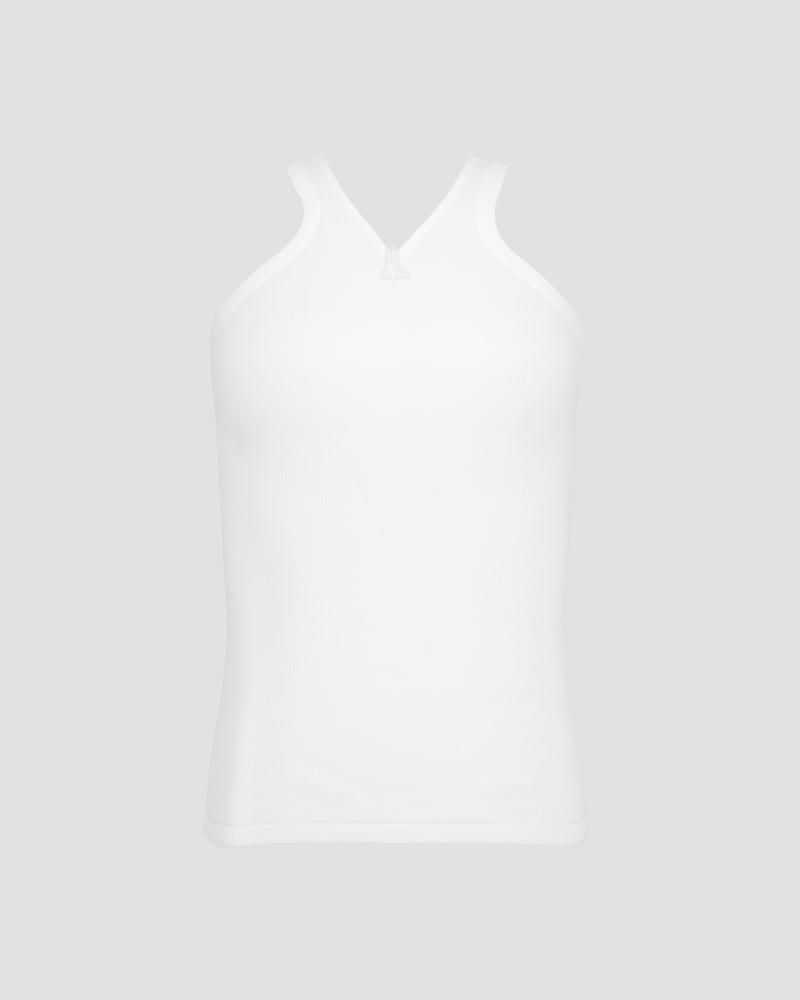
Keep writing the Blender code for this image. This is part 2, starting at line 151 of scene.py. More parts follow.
# Wide soft mounds and hollows (negative height): where each has its middle, how far it reaches sideways and
# down the cloth, and how far it is turned, in radians.
FORM_COLUMNS = "across level reach reach_down turn height"
FRONT_FORMS = named_rows(
    FORM_COLUMNS,
    # the bust's two sides, the cloth that spans the middle below it, and the drawn-in cloth beneath
    (-0.1760, -0.1850, 0.0450, 0.0400, 0.00, 0.0116),
    (0.1780, -0.1840, 0.0460, 0.0400, 0.00, 0.0116),
    (0.0000, -0.2500, 0.0720, 0.0440, 0.00, 0.0040),
    (0.0000, -0.3020, 0.0760, 0.0560, 0.00, 0.0050),
    (-0.1600, -0.2490, 0.0440, 0.0210, 0.10, -0.0086),
    (0.1540, -0.2480, 0.0360, 0.0210, -0.10, -0.0056),
    # a long trough beside one side of the waist, and a long ridge beside the other
    (-0.1420, -0.3500, 0.0290, 0.0930, -0.22, -0.0060),
    (-0.1180, -0.3560, 0.0200, 0.0320, 0.00, -0.0024),
    (0.1880, -0.3850, 0.0300, 0.1300, 0.00, 0.0078),
    # the cloth stands off the hips and turns sharply to the sides
    (-0.1450, -0.5350, 0.0180, 0.0850, 0.00, 0.0084),
    (-0.1860, -0.5450, 0.0200, 0.0850, 0.00, -0.0058),
    (0.1880, -0.5450, 0.0340, 0.0850, 0.00, 0.0086),
    # the cloth falls back towards the hem beside the slanting folds
    (-0.0450, -0.5760, 0.0460, 0.0360, 0.00, -0.0062),
)
BACK_FORMS = named_rows(
    FORM_COLUMNS,
    # shoulder blades, the small of the back, and the seat
    (-0.0780, -0.1250, 0.0480, 0.0480, 0.15, 0.0026),
    (0.0800, -0.1250, 0.0480, 0.0480, -0.15, 0.0026),
    (0.0000, -0.3200, 0.0520, 0.0900, 0.00, -0.0034),
    (-0.0800, -0.5200, 0.0600, 0.0500, 0.00, 0.0030),
    (0.0820, -0.5180, 0.0600, 0.0500, 0.00, 0.0030),
)
FORMS = {Side.FRONT: FRONT_FORMS, Side.BACK: BACK_FORMS}

# Soft troughs (negative height) and ridges, each along a bowed line on the cloth. `bow` moves the middle of
# the line sideways, `width` is the half width of the crease.
CREASE_COLUMNS = "across_1 level_1 across_2 level_2 bow width height"
FRONT_CREASES = named_rows(
    CREASE_COLUMNS,
    # drawn-in lines at the ends of the bust
    (-0.1950, -0.2360, -0.1420, -0.2440, -0.0040, 0.0100, -0.0016),
    (0.1050, -0.2250, 0.1700, -0.2360, -0.0060, 0.0090, -0.0014),
    # short drag lines on the belly
    (-0.0400, -0.2600, 0.0040, -0.3420, 0.0030, 0.0046, -0.0005),
    (0.0217, -0.4080, 0.0437, -0.4189, 0.0015, 0.0045, -0.0008),
    (-0.0182, -0.4285, 0.0082, -0.4380, -0.0010, 0.0042, -0.0008),
    (0.0800, -0.4515, 0.1332, -0.4585, 0.0020, 0.0052, -0.0018),
    (0.0800, -0.4610, 0.1300, -0.4690, 0.0020, 0.0062, 0.0009),
    # slanting folds over the right hip, and the ridge that they leave
    (-0.0950, -0.5000, -0.0412, -0.5193, -0.0030, 0.0066, -0.0012),
    (-0.0500, -0.5160, -0.0120, -0.5360, -0.0020, 0.0078, -0.0015),
    (-0.0950, -0.5307, -0.0247, -0.5379, 0.0020, 0.0068, -0.0011),
    (-0.0400, -0.4680, 0.0150, -0.4950, 0.0040, 0.0130, 0.0014),
    # wrinkles that lie along the hem
    (-0.0120, -0.5262, 0.0250, -0.5255, 0.0010, 0.0028, -0.0011),
    (0.0032, -0.5379, 0.0327, -0.5394, -0.0008, 0.0027, -0.0011),
    (0.0550, -0.5240, 0.1330, -0.5197, 0.0015, 0.0060, 0.0016),
    (0.0700, -0.5455, 0.1250, -0.5470, 0.0010, 0.0032, -0.0013),
    (-0.0130, -0.5655, 0.0130, -0.5610, 0.0010, 0.0050, -0.0014),
)
BACK_CREASES = named_rows(
    CREASE_COLUMNS,
    # drawn-in cloth in the small of the back
    (-0.1700, -0.2700, -0.0500, -0.3050, 0.0080, 0.0150, -0.0024),
    (0.1750, -0.2850, 0.0700, -0.3120, -0.0090, 0.0160, -0.0026),
    (-0.1300, -0.3250, 0.0200, -0.3420, 0.0050, 0.0110, -0.0018),
    (0.1400, -0.3450, 0.0100, -0.3720, -0.0060, 0.0120, -0.0018),
    (-0.1200, -0.3800, 0.0100, -0.3900, 0.0040, 0.0100, -0.0014),
    # lines that fall from the shoulder blades
    (-0.0850, -0.1500, -0.0600, -0.2500, 0.0060, 0.0140, -0.0016),
    (0.0900, -0.1450, 0.0700, -0.2350, -0.0050, 0.0150, -0.0015),
    # folds over the seat and along the hem
    (-0.1000, -0.5050, -0.0350, -0.5200, 0.0030, 0.0070, -0.0013),
    (0.0450, -0.5130, 0.1200, -0.5000, -0.0030, 0.0075, -0.0013),
    (-0.0300, -0.5340, 0.0250, -0.5360, 0.0010, 0.0040, -0.0009),
    (0.0500, -0.5420, 0.1050, -0.5400, 0.0010, 0.0045, -0.0008),
    (-0.1350, -0.5300, -0.0800, -0.5400, 0.0015, 0.0060, 0.0010),
)
CREASES = {Side.FRONT: FRONT_CREASES, Side.BACK: BACK_CREASES}


# ---------------------------------------------------------------- curves


def mixed(first: Array, last: Array, start: float, end: float, t: Array) -> Array:
    """The value at t on the line from `first` at `start` to `last` at `end`."""
    return (first * (end - t) + last * (t - start)) / (end - start)


def smooth_through(
    rows: Array, before: Array | None = None, after: Array | None = None, steps: int = 24
) -> Array:
    """A Catmull-Rom curve through rows of points.

    Args:
        rows: the points, one a row.
        before: a point that steers the start.
        after: a point that steers the end.
        steps: points of the curve for each stretch between two rows.

    Returns:
        The curve's points, one a row.
    """
    rows = np.asarray(rows, float)
    before = 2 * rows[0] - rows[1] if before is None else before
    after = 2 * rows[-1] - rows[-2] if after is None else after
    knots = np.vstack([before, rows, after])
    at = np.concatenate([[0.0], np.cumsum(np.sqrt(np.linalg.norm(np.diff(knots, axis=0), axis=1)))])
    curve = []
    for i in range(1, len(knots) - 2):
        p0, p1, p2, p3 = knots[i - 1 : i + 3]
        t0, t1, t2, t3 = at[i - 1 : i + 3]
        t = np.linspace(t1, t2, steps, endpoint=False)[:, None]
        early, middle, late = mixed(p0, p1, t0, t1, t), mixed(p1, p2, t1, t2, t), mixed(p2, p3, t2, t3, t)
        curve.append(mixed(mixed(early, middle, t0, t2, t), mixed(middle, late, t1, t3, t), t1, t2, t))
    return np.vstack(curve + [rows[-1:]])


def length_along(curve: Array) -> Array:
    """Distance along a curve from its first point, for each of its points."""
    return np.concatenate([[0.0], np.cumsum(np.linalg.norm(np.diff(curve, axis=0), axis=1))])


def evenly_spaced(curve: Array, step: float) -> Array:
    """A curve read again at even distances.

    Args:
        curve: the curve's points, one a row.
        step: about how far apart the new points lie.

    Returns:
        The new points, one a row.
    """
    run = length_along(curve)
    at = np.linspace(0.0, run[-1], max(2, round(run[-1] / step) + 1))
    return np.column_stack([np.interp(at, run, curve[:, k]) for k in range(curve.shape[1])])


def table_curve(table: Table, first: str, second: str) -> tuple[Array, Array]:
    """A smooth function through two columns of a table.

    Args:
        table: the table.
        first: the column that is read from.
        second: the column that is read.

    Returns:
        Two lists for np.interp, the first one rising.
    """
    curve = smooth_through(np.column_stack([table[first], table[second]]))
    order = np.argsort(curve[:, 0])
    return curve[order, 0], curve[order, 1]


def rise(t: Array, start: float, length: float) -> Array:
    """0 up to `start`, 1 from `length` past it, and a soft rise between."""
    share = np.clip((t - start) / length, 0.0, 1.0)
    return share * share * (3 - 2 * share)


def bell(t: Array, middle: float, reach: float) -> Array:
    """1 at `middle`, with a soft fall over about `reach` on each side."""
    return np.exp(-(((t - middle) / reach) ** 2))


def unit(vectors: Array) -> Array:
    """The directions of vectors that lie along the last axis."""
    return vectors / np.linalg.norm(vectors, axis=-1, keepdims=True)


def moved_aside(line: Array, distance: float) -> Array:
    """An open line moved sideways, with its corners mitred.

    Args:
        line: the line's points, one a row.
        distance: how far it moves to the left of its direction.

    Returns:
        The moved points, one a row.
    """
    steps = unit(np.diff(line, axis=0))
    before = np.vstack([steps[:1], steps])
    after = np.vstack([steps, steps[-1:]])
    middle = unit(before + after)
    stretch = 1 / np.sum(middle * after, axis=1, keepdims=True)
    return line + np.column_stack([-middle[:, 1], middle[:, 0]]) * distance * stretch


# ---------------------------------------------------------------- the cloth map


@dataclass
class ClothMap:
    """The worn form of the cloth, as a map from pairs (across, down) to points in space."""

    section_power: float = 2.4
    profile_steps: int = 40
    girth_points: int = 2001
    shoulder_fall: float = 0.27
    shoulder_start: float = 0.055
    shoulder_ease: float = 0.010
    shoulder_fade: float = 0.150
    side_drop: float = 0.0138
    side_drop_start: float = -0.450
    side_drop_powers: tuple[int, int] = (4, 12)
    bust_proud: float = 0.018
    bust_row: int = 7
    side_gap: float = 0.00002
    normal_reach: float = 0.0015
    crease_taper: float = 0.35
    crease_ends: float = 0.15
    wave_start: float = -0.400
    wave_fade: float = 0.17
    wave_height: float = 0.0008
    waves_across: Pair = (7.3, 3.1)
    waves_down: float = 40.0
    wave_offset: float = 0.8
    side_calm: float = 0.017
    form_calm: float = 0.042
    profiles: dict[Side, tuple[Array, ...]] = field(init=False)
    girth: Array = field(init=False)
    share: Array = field(init=False)
    half_panel: float = field(init=False)
    hem_level: float = field(init=False)
    bust_share: tuple[Array, Array] = field(init=False)
    bust_level: tuple[Array, Array] = field(init=False)

    def __post_init__(self) -> None:
        """Works out the profiles from the tables."""
        self.profiles = {Side.FRONT: self.side_profile("front"), Side.BACK: self.side_profile("back")}
        row = SECTIONS[self.bust_row]
        angle = np.linspace(0.0, np.pi / 2, self.girth_points)
        self.share = np.sin(angle) ** (2 / self.section_power)
        out = np.cos(angle) ** (2 / self.section_power)
        self.girth = length_along(np.column_stack([self.share * row["half_width"], out * row["front"]]))
        self.half_panel = float(self.girth[-1])
        self.hem_level = float(SECTIONS["level"][-1])
        self.bust_share = table_curve(BUST_ACROSS, "share_of_width", "fullness")
        self.bust_level = table_curve(BUST_DOWN, "level", "fullness")

    def side_profile(self, depth_column: str) -> tuple[Array, ...]:
        """One side's cloth from the crest down.

        Args:
            depth_column: the column of SECTIONS with that side's depth.

        Returns:
            Its run along the cloth, level, half width and depth.
        """
        rows = np.column_stack([SECTIONS["level"], SECTIONS["half_width"], SECTIONS[depth_column]])
        over_the_crest = rows[1] * np.array([1.0, 1.0, -1.0])
        level, half_width, depth = smooth_through(rows, over_the_crest, steps=self.profile_steps).T
        return length_along(np.column_stack([level, depth])), level, half_width, depth

    def run_at(self, level: Array | float, side: Side) -> Array:
        """The distance along the cloth from the shoulder line to a level."""
        run, levels = self.profiles[side][:2]
        return np.interp(-np.asarray(level, float), -levels, run)

    def read(self, down: Array, column: int) -> Array:
        """A column of the profile of the front or the back.

        Args:
            down: distances along the cloth.
            column: the column's number in the profile.

        Returns:
            The column's value at each distance.
        """
        rows = self.profiles
        front, back = (np.interp(np.abs(down), rows[side][0], rows[side][column]) for side in Side)
        return np.where(down >= 0, front, back)

    def level_at(self, down: Array) -> Array:
        """The level that each distance along the cloth reaches, before the shoulders' fall."""
        return self.read(np.asarray(down, float), 1)

    def place(self, across: Array, down: Array) -> Array:
        """Points in space for places on the map.

        Args:
            across: distances along the cloth from the centre line.
            down: distances along the cloth from the shoulder line.

        Returns:
            The points, with x, y and z along the last axis.
        """
        across, down = np.broadcast_arrays(np.asarray(across, float), np.asarray(down, float))
        level, half_width, depth = (self.read(down, column) for column in (1, 2, 3))
        share = np.interp(np.abs(across), self.girth, self.share)
        x = half_width * share
        out = depth * (1 - share**self.section_power) ** (1 / self.section_power)
        full = np.interp(share, *self.bust_share) * np.interp(level, *self.bust_level)
        out = out + np.where(down >= 0, self.bust_proud * full, 0.0)
        beyond = np.maximum(x - self.shoulder_start, 0.0)
        fade = rise(level, -self.shoulder_fade, self.shoulder_fade)
        fall = self.shoulder_fall * beyond**2 / (beyond + self.shoulder_ease) * fade
        y = -np.sign(down) * (out + self.side_gap)
        low = np.clip((self.side_drop_start - level) / (self.side_drop_start - self.hem_level), 0.0, 1.0)
        outwards, at_seam = self.side_drop_powers
        drop = self.side_drop * share**outwards * (1 - share**at_seam) * low**2
        return np.stack([self.leaning(x * np.sign(across), level), y, level - fall - drop], axis=-1)

    @staticmethod
    def leaning(x: Array, level: Array) -> Array:
        """Sideways places with the small lean of the straps and of the neck's point.

        Args:
            x: the places without it.
            level: the level of each.

        Returns:
            The moved places.
        """
        moved = x
        for row in LEAN:
            near = bell(x, row["x"], row["reach"]) * bell(level, row["level"], row["reach_down"])
            moved = moved + row["shift"] * near
        return moved

    def outward(self, across: Array, down: Array) -> Array:
        """The cloth's outward direction, read over a short reach on each side of a place.

        Args:
            across: distances along the cloth from the centre line.
            down: distances along the cloth from the shoulder line.

        Returns:
            Unit directions, one for each place.
        """
        across, down = np.broadcast_arrays(np.asarray(across, float), np.asarray(down, float))
        reach = self.normal_reach
        left = np.clip(across - reach, -self.half_panel, self.half_panel)
        right = np.clip(across + reach, -self.half_panel, self.half_panel)
        side = np.where(down < 0, -1.0, 1.0)
        nearer = side * np.maximum(np.abs(down) - reach, OFF_CREST)
        further = side * (np.abs(down) + reach)
        along_width = self.place(right, down) - self.place(left, down)
        along_length = self.place(across, further) - self.place(across, nearer)
        normal = np.cross(along_length, along_width) * side[..., None]
        on_crest = down == 0
        normal[on_crest] = np.cross(np.array([0.0, -1.0, 0.0]), along_width[on_crest])
        normal[np.abs(across) >= self.half_panel - OFF_SIDE, 1] = 0.0
        return unit(normal)

    def form_lift(self, pairs: Array, side: Side) -> Array:
        """The height of the wide mounds and hollows.

        Args:
            pairs: places on one side's cloth.
            side: that side.

        Returns:
            The height at each place.
        """
        lift = np.zeros(len(pairs))
        for row in FORMS[side]:
            off = pairs - (row["across"], side.value * self.run_at(row["level"], side))
            cos, sin = np.cos(row["turn"]), np.sin(row["turn"])
            turned = off[:, 0] * cos + side.value * off[:, 1] * sin
            along = side.value * off[:, 1] * cos - off[:, 0] * sin
            lift += row["height"] * bell(turned, 0.0, row["reach"]) * bell(along, 0.0, row["reach_down"])
        return lift

    def crease_lift(self, pairs: Array, side: Side) -> Array:
        """The height of the narrow creases.

        Args:
            pairs: places on one side's cloth.
            side: that side.

        Returns:
            The height at each place.
        """
        lift = np.zeros(len(pairs))
        for row in CREASES[side]:
            start, end = (
                np.array([row[f"across_{k}"], side.value * self.run_at(row[f"level_{k}"], side)])
                for k in (1, 2)
            )
            span = end - start
            length = float(np.linalg.norm(span))
            along, aside = span / length, np.array([-span[1], span[0]]) / length
            t = (pairs - start) @ along / length
            off = (pairs - start) @ aside - row["bow"] * (1 - (2 * np.clip(t, 0, 1) - 1) ** 2)
            taper = rise(np.minimum(t, 1 - t), -self.crease_ends * self.crease_taper, self.crease_taper)
            lift += row["height"] * taper * bell(off, 0.0, row["width"])
        return lift

    def soft_lift(self, pairs: Array) -> tuple[Array, Array]:
        """The soft relief of the worn cloth.

        Args:
            pairs: places on the map.

        Returns:
            The height of the wide forms, and of the creases with the loose wave of the lower body.
        """
        form, crease = np.zeros(len(pairs)), np.zeros(len(pairs))
        for side in Side:
            mine = (pairs[:, 1] >= 0) == (side is Side.FRONT)
            form[mine] = self.form_lift(pairs[mine], side)
            crease[mine] = self.crease_lift(pairs[mine], side)
        level = self.level_at(pairs[:, 1])
        girth = pairs[:, 0] / self.half_panel
        first, second = self.waves_across
        wave = np.sin(first * girth + self.wave_offset * np.sign(pairs[:, 1]))
        wave = wave * np.cos(second * girth + self.waves_down * level)
        wave = wave * self.wave_height * rise(-level, -self.wave_start, self.wave_fade)
        from_side = self.half_panel - np.abs(pairs[:, 0])
        calm = rise(from_side, 0.0, self.side_calm)
        return form * rise(from_side, 0.0, self.form_calm), (crease + wave) * calm

    def lifted(self, pairs: Array, lift: Array | float) -> Array:
        """Points at a height above the cloth with its soft forms.

        The wide forms push the cloth straight ahead or back, so that they leave its outline as it is.

        Args:
            pairs: places on the map.
            lift: the height, the same for all or one for each.

        Returns:
            The points, one a row.
        """
        pairs = np.asarray(pairs, float)
        normal = self.outward(pairs[:, 0], pairs[:, 1])
        form, crease = self.soft_lift(pairs)
        points = self.place(pairs[:, 0], pairs[:, 1]) + normal * np.reshape(crease + lift, (-1, 1))
        ahead = np.where(pairs[:, 1] >= 0, -1.0, 1.0)
        points[:, 1] += ahead * form
        return points

    def on_cloth(self, table: Table, side: Side) -> Array:
        """A table of edge points as pairs of the map."""
        return np.column_stack([table["across"], side.value * self.run_at(table["level"], side)])


# ---------------------------------------------------------------- edges and seams


@dataclass(frozen=True)
class EdgeLine:
    """A finished edge, the seam beside it, and the station at which both cross the shoulder line."""

    edge: Array
    seam: Array
    crest: int


@dataclass
class CutLines:
    """Where the neck's and the armholes' edges and seams run on the cloth."""

    cloth: ClothMap
    neck_band: float = 0.0075
    armhole_band: float = 0.0155
    back_inset: float = 0.0038
    back_inset_level: float = -0.030
    back_inset_reach: float = 0.022
    back_inset_ease: float = 0.008
    step: float = 0.0022

    def neck(self, band: float | None = None) -> EdgeLine:
        """The neck's edge and seam, from centre front over the left shoulder to centre back.

        Args:
            band: how far the seam lies inside the edge, if not at the binding's width.

        Returns:
            Both lines.
        """
        front = evenly_spaced(smooth_through(self.cloth.on_cloth(NECK_FRONT, Side.FRONT)), self.step)
        rows = self.cloth.on_cloth(NECK_BACK, Side.BACK)
        back = evenly_spaced(smooth_through(rows, after=rows[-2] * np.array([-1.0, 1.0])), self.step)
        centre = np.array([[0.0, front[0, 1]]])
        edge = np.vstack([centre, front, back[1:]])
        seam = moved_aside(edge, self.neck_band if band is None else band)
        seam[[0, -1], 0] = 0.0
        crest = len(front)
        seam[crest, 1] = 0.0
        return EdgeLine(edge, seam, crest)

    def armhole(self, band: float | None = None) -> EdgeLine:
        """The left armhole's edge and seam, from the front's side seam over the shoulder to the back's.

        Args:
            band: how far the seam lies inside the edge, if not at the binding's width.

        Returns:
            Both lines.
        """
        lines = []
        for side in Side:
            rows = self.cloth.on_cloth(ARMHOLE, side)
            if side is Side.BACK:
                level = ARMHOLE["level"]
                near = bell(level, self.back_inset_level, self.back_inset_reach)
                rows[:, 0] -= self.back_inset * near * rise(-level, 0.0, self.back_inset_ease)
            over_the_crest = rows[1] * np.array([1.0, -1.0])
            past_the_side = np.array([2 * self.cloth.half_panel - rows[-2, 0], rows[-2, 1]])
            lines.append(evenly_spaced(smooth_through(rows, over_the_crest, past_the_side), self.step))
        edge = np.vstack([lines[0][::-1], lines[1][1:]])
        edge[[0, -1], 0] = self.cloth.half_panel
        seam = moved_aside(edge, -(self.armhole_band if band is None else band))
        seam[[0, -1], 0] = self.cloth.half_panel
        crest = len(lines[0]) - 1
        seam[crest, 1] = 0.0
        return EdgeLine(edge, seam, crest)


# ---------------------------------------------------------------- meshes


def grid_faces(rows: int, columns: int, closed: bool = False) -> Faces:
    """The faces of a grid of points, which are numbered row by row.

    Args:
        rows: how many rows there are.
        columns: how many points a row has.
        closed: whether the last row and column join the first.

    Returns:
        Four point numbers for each face.
    """
    faces = []
    for r in range(rows if closed else rows - 1):
        for c in range(columns if closed else columns - 1):
            here, ahead, beside = r * columns, (r + 1) % rows * columns, (c + 1) % columns
            faces.append((here + c, here + beside, ahead + beside, ahead + c))
    return faces


def make_piece(name: str, points: Array, faces: Faces, uv: Array, smooth_angle: float) -> Piece:
    """A mesh object at the origin, shaded smooth, with a UV map `cloth`.

    Args:
        name: the piece's name.
        points: its points, in metres.
        faces: the point numbers of each face.
        uv: a place on the cloth for each point, in metres.
        smooth_angle: edges sharper than this, in degrees, stay sharp.

    Returns:
        The object, linked to the scene.
    """
    mesh = bpy.data.meshes.new(name)
    mesh.from_pydata(np.asarray(points, float).tolist(), [], faces)
    mesh.update()
    loops = np.zeros(len(mesh.loops), np.int32)
    mesh.loops.foreach_get("vertex_index", loops)
    layer = mesh.uv_layers.new(name="cloth")
    layer.uv.foreach_set("vector", np.asarray(uv, np.float32)[loops].ravel())
    mesh.shade_smooth()
    mesh.set_sharp_from_angle(angle=np.radians(smooth_angle))
    made = bpy.data.objects.new(name, mesh)
    bpy.context.scene.collection.objects.link(made)
    return made


def face_outwards(piece: Piece) -> None:
    """Turns the faces of a closed mesh outwards.

    Args:
        piece: the piece with that mesh.
    """
    shape = bmesh.new()
    shape.from_mesh(piece.data)
    bmesh.ops.recalc_face_normals(shape, faces=shape.faces)
    shape.to_mesh(piece.data)
    shape.free()


def dress(piece: Piece, material: Material, replaces: tuple[str, ...] = ()) -> None:
    """Gives a piece its finish and its body.

    Args:
        piece: the piece.
        material: its finish.
        replaces: the frame nodes that the piece stands for.
    """
    piece.data.materials.clear()
    piece.data.materials.append(material)
    if replaces:
        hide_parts(*replaces)
    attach(piece, BODY)
    LOG.info("%s: %d faces", piece.name, len(piece.data.polygons))


# ---------------------------------------------------------------- finishes


@dataclass(frozen=True)
class Gloss:
    """How a finish answers light: its roughness from its smoothest to its roughest places, and the rest."""

    roughness: Pair
    specular: float = 0.5
    sheen: float = 0.0
    sheen_roughness: float = 0.5


@dataclass(frozen=True)
class Relief:
    """A fine relief's depth in metres, and how strongly it shows."""

    depth: float
    strength: float


class Nodes:
    """A short way to write a material's node tree."""

    DARKEST = 0.72
    UNEVEN = (0.3, 0.7)

    def __init__(self, name: str) -> None:
        """Starts a material with its shader.

        Args:
            name: the material's name.
        """
        self.material = bpy.data.materials.new(name)
        self.material.use_nodes = True
        self.tree = self.material.node_tree
        self.shader = self.tree.nodes["Principled BSDF"]

    def add(self, kind: str, **values: object) -> bpy.types.Node:
        """A node.

        Args:
            kind: the node's type.
            values: its settings, by name.

        Returns:
            The node.
        """
        node = self.tree.nodes.new(kind)
        for key, value in values.items():
            setattr(node, key, value)
        return node

    def link(self, source: Socket, target: Socket) -> None:
        """Joins two sockets."""
        self.tree.links.new(source, target)

    def feed(self, target: Socket, value: object) -> None:
        """Sets a socket, or joins it to another.

        Args:
            target: the socket.
            value: a number, or the socket that it is joined to.
        """
        if isinstance(value, Socket):
            self.link(value, target)
        else:
            target.default_value = value

    def math(self, operation: str, *values: object) -> Socket:
        """A Math node.

        Args:
            operation: what it does.
            values: its inputs, each a number or a socket.

        Returns:
            Its output.
        """
        node = self.add("ShaderNodeMath", operation=operation)
        for socket, value in zip(node.inputs, values):
            self.feed(socket, value)
        return node.outputs[0]

    def times(self, value: object, factor: object, plus: object = None) -> Socket:
        """A value times a factor, with `plus` added to it if there is one."""
        given = (value, factor) if plus is None else (value, factor, plus)
        return self.math("MULTIPLY" if plus is None else "MULTIPLY_ADD", *given)

    def less(self, value: object, taken: object) -> Socket:
        """A value less another."""
        return self.math("SUBTRACT", value, taken)

    def share_of_turn(self, value: object) -> Socket:
        """The part of a value past its last whole number."""
        return self.math("FRACT", value)

    def off_middle(self, share: object) -> Socket:
        """How far a share from 0 to 1 lies off its middle."""
        return self.math("ABSOLUTE", self.less(share, 0.5))

    def arch(self, value: object) -> Socket:
        """A round arch over each whole number."""
        return self.math("SINE", self.times(self.share_of_turn(value), np.pi))

    def ripple(self, value: object, length: float) -> Socket:
        """A wave of a given length, in metres."""
        return self.math("SINE", self.times(value, 2 * np.pi / length))

    def ramp(self, value: object, low: float, high: float, start: float = 0.0, end: float = 1.0) -> Socket:
        """A soft rise.

        Args:
            value: what is read.
            low: its value where the rise starts.
            high: its value where the rise ends.
            start: what comes out up to `low`.
            end: what comes out from `high`.

        Returns:
            The output.
        """
        node = self.add("ShaderNodeMapRange", interpolation_type="SMOOTHSTEP")
        for socket, given in zip(node.inputs, (value, low, high, start, end)):
            self.feed(socket, given)
        return node.outputs[0]

    def place(self) -> tuple[Socket, Socket, Socket]:
        """The place on the cloth.

        Returns:
            Both numbers of the UV map in metres, and the UV itself.
        """
        uv = self.add("ShaderNodeUVMap", uv_map="cloth")
        split = self.add("ShaderNodeSeparateXYZ")
        self.link(uv.outputs[0], split.inputs[0])
        return split.outputs[0], split.outputs[1], uv.outputs[0]

    def noise(self, vector: Socket, scale: float, detail: float = 2.0) -> Socket:
        """Noise.

        Args:
            vector: the place.
            scale: how many lumps a metre has.
            detail: how fine its edges are.

        Returns:
            Its height.
        """
        node = self.add("ShaderNodeTexNoise")
        self.link(vector, node.inputs["Vector"])
        node.inputs["Scale"].default_value = scale
        node.inputs["Detail"].default_value = detail
        return node.outputs[0]

    def tint(self, colour: Triple, shade: object) -> None:
        """Sets the base colour.

        Args:
            colour: the colour in full light.
            shade: how far it is darkened, from 0 to 1.
        """
        mix = self.add("ShaderNodeMix", data_type="RGBA", blend_type="MIX")
        self.feed(mix.inputs[0], shade)
        mix.inputs[6].default_value = (*colour, 1.0)
        mix.inputs[7].default_value = (*(self.DARKEST * c for c in colour), 1.0)
        self.link(mix.outputs[2], self.shader.inputs["Base Color"])

    def emboss(self, *layers: tuple[Socket, Relief]) -> None:
        """Gives the surface its fine reliefs.

        Args:
            layers: the height of each relief and its depth, the lowest one first.
        """
        under = None
        for height, relief in layers:
            node = self.add("ShaderNodeBump")
            node.inputs["Strength"].default_value = relief.strength
            node.inputs["Distance"].default_value = relief.depth
            self.link(height, node.inputs["Height"])
            if under is not None:
                self.link(under, node.inputs["Normal"])
            under = node.outputs[0]
        self.link(under, self.shader.inputs["Normal"])

    def shine(self, uneven: Socket, gloss: Gloss) -> None:
        """Sets how the surface answers light.

        Args:
            uneven: a noise that the roughness follows.
            gloss: the values.
        """
        self.link(self.ramp(uneven, *self.UNEVEN, *gloss.roughness), self.shader.inputs["Roughness"])
        self.shader.inputs["Sheen Weight"].default_value = gloss.sheen
        self.shader.inputs["Sheen Roughness"].default_value = gloss.sheen_roughness
        self.shader.inputs["Specular IOR Level"].default_value = gloss.specular


@dataclass(frozen=True)
class RibKnit:
    """Matt white cotton rib: two rows of knit loops on each rib, with painted shade in the groove between
    ribs and where the loops sink.

    `ribs_before` and `loops_before` are whole counts that keep both counts above zero.
    """

    half_panel: float
    ribs: int
    colour: Triple = (0.882, 0.882, 0.890)
    loop: float = 0.0013
    loop_slant: float = 1.1
    wale_fall: float = 1.2
    groove_from: float = 0.62
    ribs_before: float = 8.0
    loops_before: float = 900.0
    fuzz_scale: float = 1600.0
    fuzz_detail: float = 3.0
    worn_scale: float = 14.0
    groove_shade: float = 0.02
    hollow_shade: float = 0.03
    worn_shade: float = 0.04
    fuzz_shade: float = 0.02
    lightened: float = 0.03
    loop_relief: Relief = Relief(0.00016, 0.32)
    fuzz_relief: Relief = Relief(0.00006, 0.35)
    gloss: Gloss = Gloss((0.84, 0.95), specular=0.25, sheen=0.16)

    def material(self) -> Material:
        """The finish.

        Returns:
            The finish as a material.
        """
        n = Nodes("rib_knit")
        u, v, uv = n.place()
        pitch = 2 * self.half_panel / self.ribs
        phase = n.share_of_turn(n.times(u, 1 / pitch, self.half_panel / pitch + self.ribs_before))
        groove = n.ramp(n.times(n.off_middle(phase), 2.0), self.groove_from, 1.0)
        in_wale = n.off_middle(n.share_of_turn(n.times(phase, 2.0)))
        loop = n.arch(n.times(in_wale, self.loop_slant, n.times(v, 1 / self.loop, self.loops_before)))
        rounded = n.less(1.0, n.times(in_wale, self.wale_fall))
        relief = n.times(n.times(loop, rounded), n.less(1.0, groove))
        fuzz = n.noise(uv, self.fuzz_scale, self.fuzz_detail)
        # Painted shade: darker in the grooves between ribs and where the loops sink; the worn and fuzz noises
        # add random tone.
        shade = n.times(groove, self.groove_shade, n.times(n.less(1.0, relief), self.hollow_shade))
        shade = n.times(n.noise(uv, self.worn_scale), self.worn_shade, shade)
        n.tint(self.colour, n.times(fuzz, self.fuzz_shade, n.less(shade, self.lightened)))
        n.emboss((relief, self.loop_relief), (fuzz, self.fuzz_relief))
        n.shine(fuzz, self.gloss)
        return n.material


